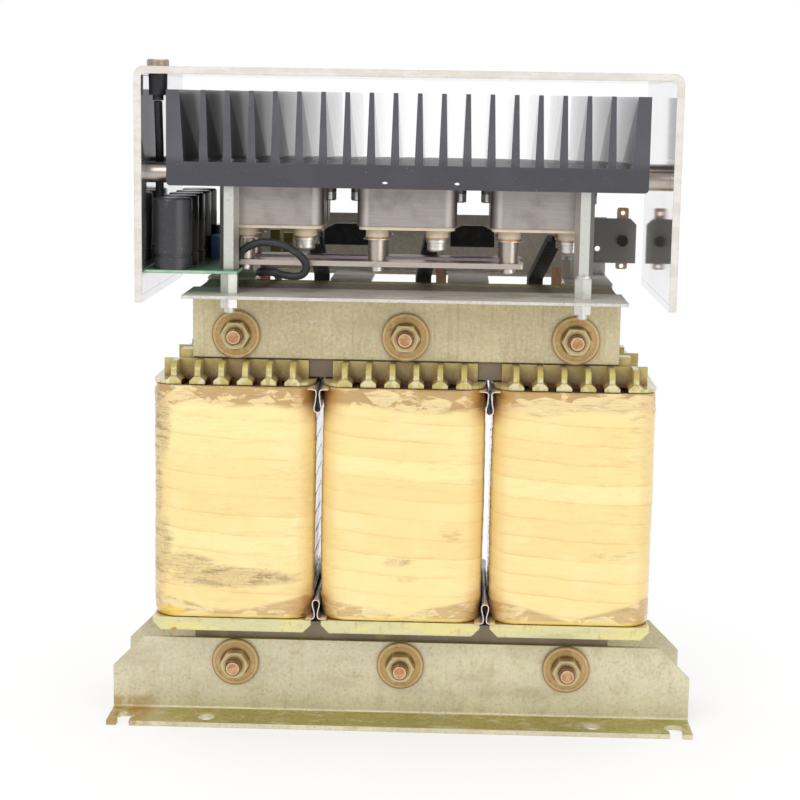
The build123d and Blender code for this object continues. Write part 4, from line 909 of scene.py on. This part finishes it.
# Dirt on each coil: its place and its reach along X, Y and Z, then its amount
LEFT_DIRT = [
    (-38, -42, 152, 9, 30, 20, 1.25), (-40, -36, 118, 6, 30, 28, 1.15), (-37, -40, 90, 9, 24, 22, 1.05),
    (0, -46, 77, 36, 12, 6, 1.15), (-24, -45, 84, 16, 12, 6, 0.95)]
MIDDLE_DIRT = [
    (-2, -46, 86, 9, 12, 3, 0.8), (25, -46, 101, 7, 12, 6, 0.5), (2, -46, 78, 8, 12, 2, 0.7),
    (-8, -46, 166, 14, 12, 3, 0.5)]
RIGHT_DIRT = [(20, -46, 92, 14, 12, 4, 0.45), (30, -40, 160, 8, 14, 8, 0.5)]
tape_material = tape()
for wrap_args in (("wrap_left_skin", "outer_wrap_left", -COIL_PITCH_MM, 11, LEFT_DIRT),
                  ("wrap_middle_skin", "outer_wrap_middle", 0.0, 21, MIDDLE_DIRT),
                  ("wrap_right_skin", "outer_wrap_right", COIL_PITCH_MM, 31, RIGHT_DIRT)):
    make_wrap(*wrap_args).data.materials.append(tape_material)


# Barrier films: a thin sheet pressed into each gap, round like a bulb at its end

FILM_STEPS, FILM_HALF_MM, FILM_HALF_THICK_MM = 24, 46.0, 0.21
FILM_GAPS_MM = (-COIL_PITCH_MM / 2, COIL_PITCH_MM / 2)
BULB_MM = 1.7

# Level, direction and drop of the fold, at the top and at the foot of each gap
FILM_ENDS = ((172.25, -1, 11.4), (56.35, 1, 9.8))


def film_section(level, down, squeeze, drop):
    """Middle line of one film, from its left wing round the bulb to its right wing."""
    wide = 1.75 * squeeze
    low = drop - BULB_MM
    right = [(5.2, 0.0), (2.1, 0.05), (1.15, 0.4), (0.80, 1.2), (0.72, 2.4), (0.90, 3.8),
             (0.72 * wide, low - 2.9), (0.94 * wide, low - 1.5)]
    right += [(wide * math.cos(a), low + BULB_MM * math.sin(a)) for a in np.linspace(0.0, math.pi / 2, 7)]
    side = [(x, level + down * fall) for x, fall in right]
    return [(-x, z) for x, z in side] + side[-2::-1]


def film_outline(y, middle, step, level, down, drop):
    """The film's closed outline at y, wider near both ends of the gap and slightly wavy."""
    near_end = max(0.0, abs(y) - 36.0) / 10.0
    line = np.array(film_section(level, down, 0.74 + 0.26 * near_end, drop))
    line[:, 1] += down * 0.25 * math.sin(step * 0.9 + middle)
    run = np.gradient(line, axis=0)
    run /= np.linalg.norm(run, axis=1)[:, None]
    across = np.stack([-run[:, 1], run[:, 0]], 1) * FILM_HALF_THICK_MM
    return np.concatenate([line + across, (line - across)[::-1]])


def make_films():
    verts, faces = [], []
    for middle in FILM_GAPS_MM:
        for level, down, drop in FILM_ENDS:
            rows = []
            for step in range(FILM_STEPS + 1):
                y = FILM_HALF_MM * (2 * step / FILM_STEPS - 1)
                outline = film_outline(y, middle, step, level, down, drop)
                rows.append(len(verts))
                verts += [((middle + x) * MM, y * MM, z * MM) for x, z in outline]
            width = len(outline)
            for near, far in zip(rows, rows[1:]):
                for i in range(width):
                    on = (i + 1) % width
                    faces.append((near + i, near + on, far + on, far + i))
            for base in (rows[0], rows[-1]):
                last = base + width - 1
                faces += [(base + i, base + i + 1, last - i - 1, last - i) for i in range(width // 2 - 1)]
    mesh = bpy.data.meshes.new("film_loops")
    mesh.from_pydata(verts, [], faces)
    shape = bmesh.new()
    shape.from_mesh(mesh)
    bmesh.ops.recalc_face_normals(shape, faces=shape.faces)
    shape.to_mesh(mesh)
    shape.free()
    mesh.shade_smooth()
    piece = linked("film_loops", mesh)
    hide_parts("barrier_films")
    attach(piece, "root")


make_films()


# Finishes on the carried-over pieces

sheet_low = zinc_sheet("zinc_feet", (0.70, 0.645, 0.455), 0.3, 0.10)
sheet_high = zinc_sheet("zinc_clamp", (0.65, 0.565, 0.35), 0.15, 0.45)
golden = zinc_hardware("golden_washer", (0.60, 0.35, 0.19), 1.0)
olive = zinc_hardware("olive_nut", (0.56, 0.50, 0.28))
pillar_metal = nickel("pillar_metal", (0.69, 0.70, 0.64), 0.30)
bush_metal = nickel("bush_metal", (0.55, 0.475, 0.42), 0.22)
small_metal = nickel("small_metal", (0.76, 0.735, 0.70), 0.24, 0.85)
bar_metal = nickel("bar_metal", (0.58, 0.51, 0.45), 0.26)
cream = plastic("cream_resin", (0.67, 0.565, 0.42), 0.40, 0.1)
black = rubber("black_lead")
put(sheet_low, "lower_front_clamp", "lower_rear_clamp")
put(sheet_high, "upper_front_clamp", "upper_rear_clamp")
put(golden, "stud_washers")
put(olive, "stud_nuts")
put(stud_metal(), "core_studs")
put(galvanised(), "front_support_strip", "rear_support_bracket")
put(laminated_core(), "core_limb_stack", "core_upper_yoke")
put(pillar_metal, "lower_pillars", "upper_pillars", "pillar_rings")
put(bush_metal, "busbar_standoffs", "cover_spacers")
put(small_metal, "pillar_nuts", "pillar_washers", "module_screws", "module_spring_washers", "busbar_screws",
    "lug_screws", "terminal_washers", "cover_screws")
put(bar_metal, "front_busbar")
put(nickel("rivet_metal", (0.07, 0.065, 0.06), 0.45), "terminal_rivet")
put(nickel("rear_bar_metal", (0.40, 0.33, 0.34), 0.30), "rear_busbar")
put(brushed_case(), "module_case_left", "module_case_middle", "module_case_right")
put(cream, "module_lid_left", "module_lid_middle", "module_lid_right")
put(anodised(), "heat_sink")
put(cover_metal(), "cover")
put(copper("ring_copper", (0.60, 0.36, 0.24)), "terminal_rings", "winding_tails", "strap_lugs")
put(copper("spade_copper", (0.62, 0.36, 0.22)), "spade_terminal")
put(comb_plastic(), "bobbin_left", "bobbin_middle", "bobbin_right")
put(dark_winding(), "primary_windings", "secondary_windings")
put(board_laminate(), "control_board")
put(plastic("can_sleeve", (0.024, 0.024, 0.028), 0.28, 0.4), "board_cans")
put(plastic("blue_coat", (0.02, 0.18, 0.40), 0.25, 0.5), "film_capacitor")
put(plastic("yellow_trimmer", (0.38, 0.28, 0.035), 0.3, 0.3), "trimmer_blocks")
put(plastic("socket_plastic", (0.022, 0.022, 0.024), 0.4, 0.2), "lead_sockets")
put(plastic("dark_laminate", (0.26, 0.26, 0.25), 0.42, 0.1, 0.12), "terminal_board")
put(plastic("tube_paper", (0.42, 0.28, 0.13), 0.5, 0.2), "stud_insulating_tubes")
put(nickel("lamp_chrome", (0.38, 0.32, 0.25), 0.34), "lamp_bezel")
put(black, "lamp_boot", "lamp_lead_soft", "loop_lead_soft")
put(rubber("strap_sleeve", 1.6), "winding_straps")
put(film_sheet(), "film_loops")


# Studio: pale floor, white surroundings and three soft lamps

LAMP_AIM = Vector((0, 0, 0.17))
LAMPS = (
    ("key_lamp", (-0.55, -1.1, 0.95), 0.7, 6.5),
    ("fill_lamp", (0.9, -1.0, 0.5), 0.9, 3.8),
    ("top_lamp", (0.0, 0.2, 1.3), 0.8, 4.5))
FLOOR_HALF = 6.0


def make_world():
    """White to the camera, brighter from above on matt faces and from behind in reflections."""
    world = bpy.data.worlds.new("studio")
    bpy.context.scene.world = world
    world.use_nodes = True
    tree = world.node_tree
    tree.nodes.clear()
    new, link = tree.nodes.new, tree.links.new
    split = new("ShaderNodeSeparateXYZ")
    link(new("ShaderNodeTexCoord").outputs["Generated"], split.inputs[0])

    def strength(axis, low, high, to_low, to_high):
        ramp = new("ShaderNodeMapRange")
        for key, value in (("From Min", low), ("From Max", high), ("To Min", to_low), ("To Max", to_high)):
            ramp.inputs[key].default_value = value
        link(split.outputs[axis], ramp.inputs["Value"])
        return ramp.outputs[0]

    seen, lit = new("ShaderNodeBackground"), new("ShaderNodeBackground")
    for light in (seen, lit):
        light.inputs["Color"].default_value = (1, 1, 1, 1)
    seen.inputs["Strength"].default_value = 1.0
    path, by_ray, mix = new("ShaderNodeLightPath"), new("ShaderNodeMix"), new("ShaderNodeMixShader")
    link(path.outputs["Is Glossy Ray"], by_ray.inputs[0])
    link(strength("Z", -0.3, 0.9, 0.50, 0.85), by_ray.inputs[2])
    link(strength("Y", -0.30, 0.30, 0.45, 1.05), by_ray.inputs[3])
    link(by_ray.outputs[0], lit.inputs["Strength"])
    link(path.outputs["Is Camera Ray"], mix.inputs[0])
    link(lit.outputs[0], mix.inputs[1])
    link(seen.outputs[0], mix.inputs[2])
    link(mix.outputs[0], new("ShaderNodeOutputWorld").inputs[0])


def make_lamps():
    for name, place, size, power in LAMPS:
        data = bpy.data.lights.new(name, "AREA")
        data.size, data.energy = size, power
        lamp = linked(name, data)
        lamp.location = place
        lamp.rotation_euler = (LAMP_AIM - Vector(place)).to_track_quat("-Z", "Y").to_euler()


def make_floor():
    """Pale paper that takes the part's shadow and fades to plain white further out."""
    corners = [(x * FLOOR_HALF, y * FLOOR_HALF, 0) for x, y in ((-1, -1), (1, -1), (1, 1), (-1, 1))]
    mesh = bpy.data.meshes.new("floor")
    mesh.from_pydata(corners, [], [(0, 1, 2, 3)])
    floor = linked("floor", mesh)
    p = Paint("floor_paper")
    tone = p.mixed((0.90, 0.90, 0.90), (0.93, 0.93, 0.93), p.noise(400, 2, seed=1))
    lit = p.node("ShaderNodeBsdfPrincipled", {"Base Color": tone, "Roughness": 0.8})
    away = (p.x * p.x + p.y * p.y) ** 0.5
    white = p.node("ShaderNodeEmission", {"Color": (1.0, 1.0, 1.0, 1.0), "Strength": 1.0})
    share = away.rise(130, 300, 0.55, 1.0)
    mesh.materials.append(p.shown(p.node("ShaderNodeMixShader", [share, lit, white])))


bpy.context.scene.view_settings.view_transform = "Standard"
make_world()
make_lamps()
make_floor()
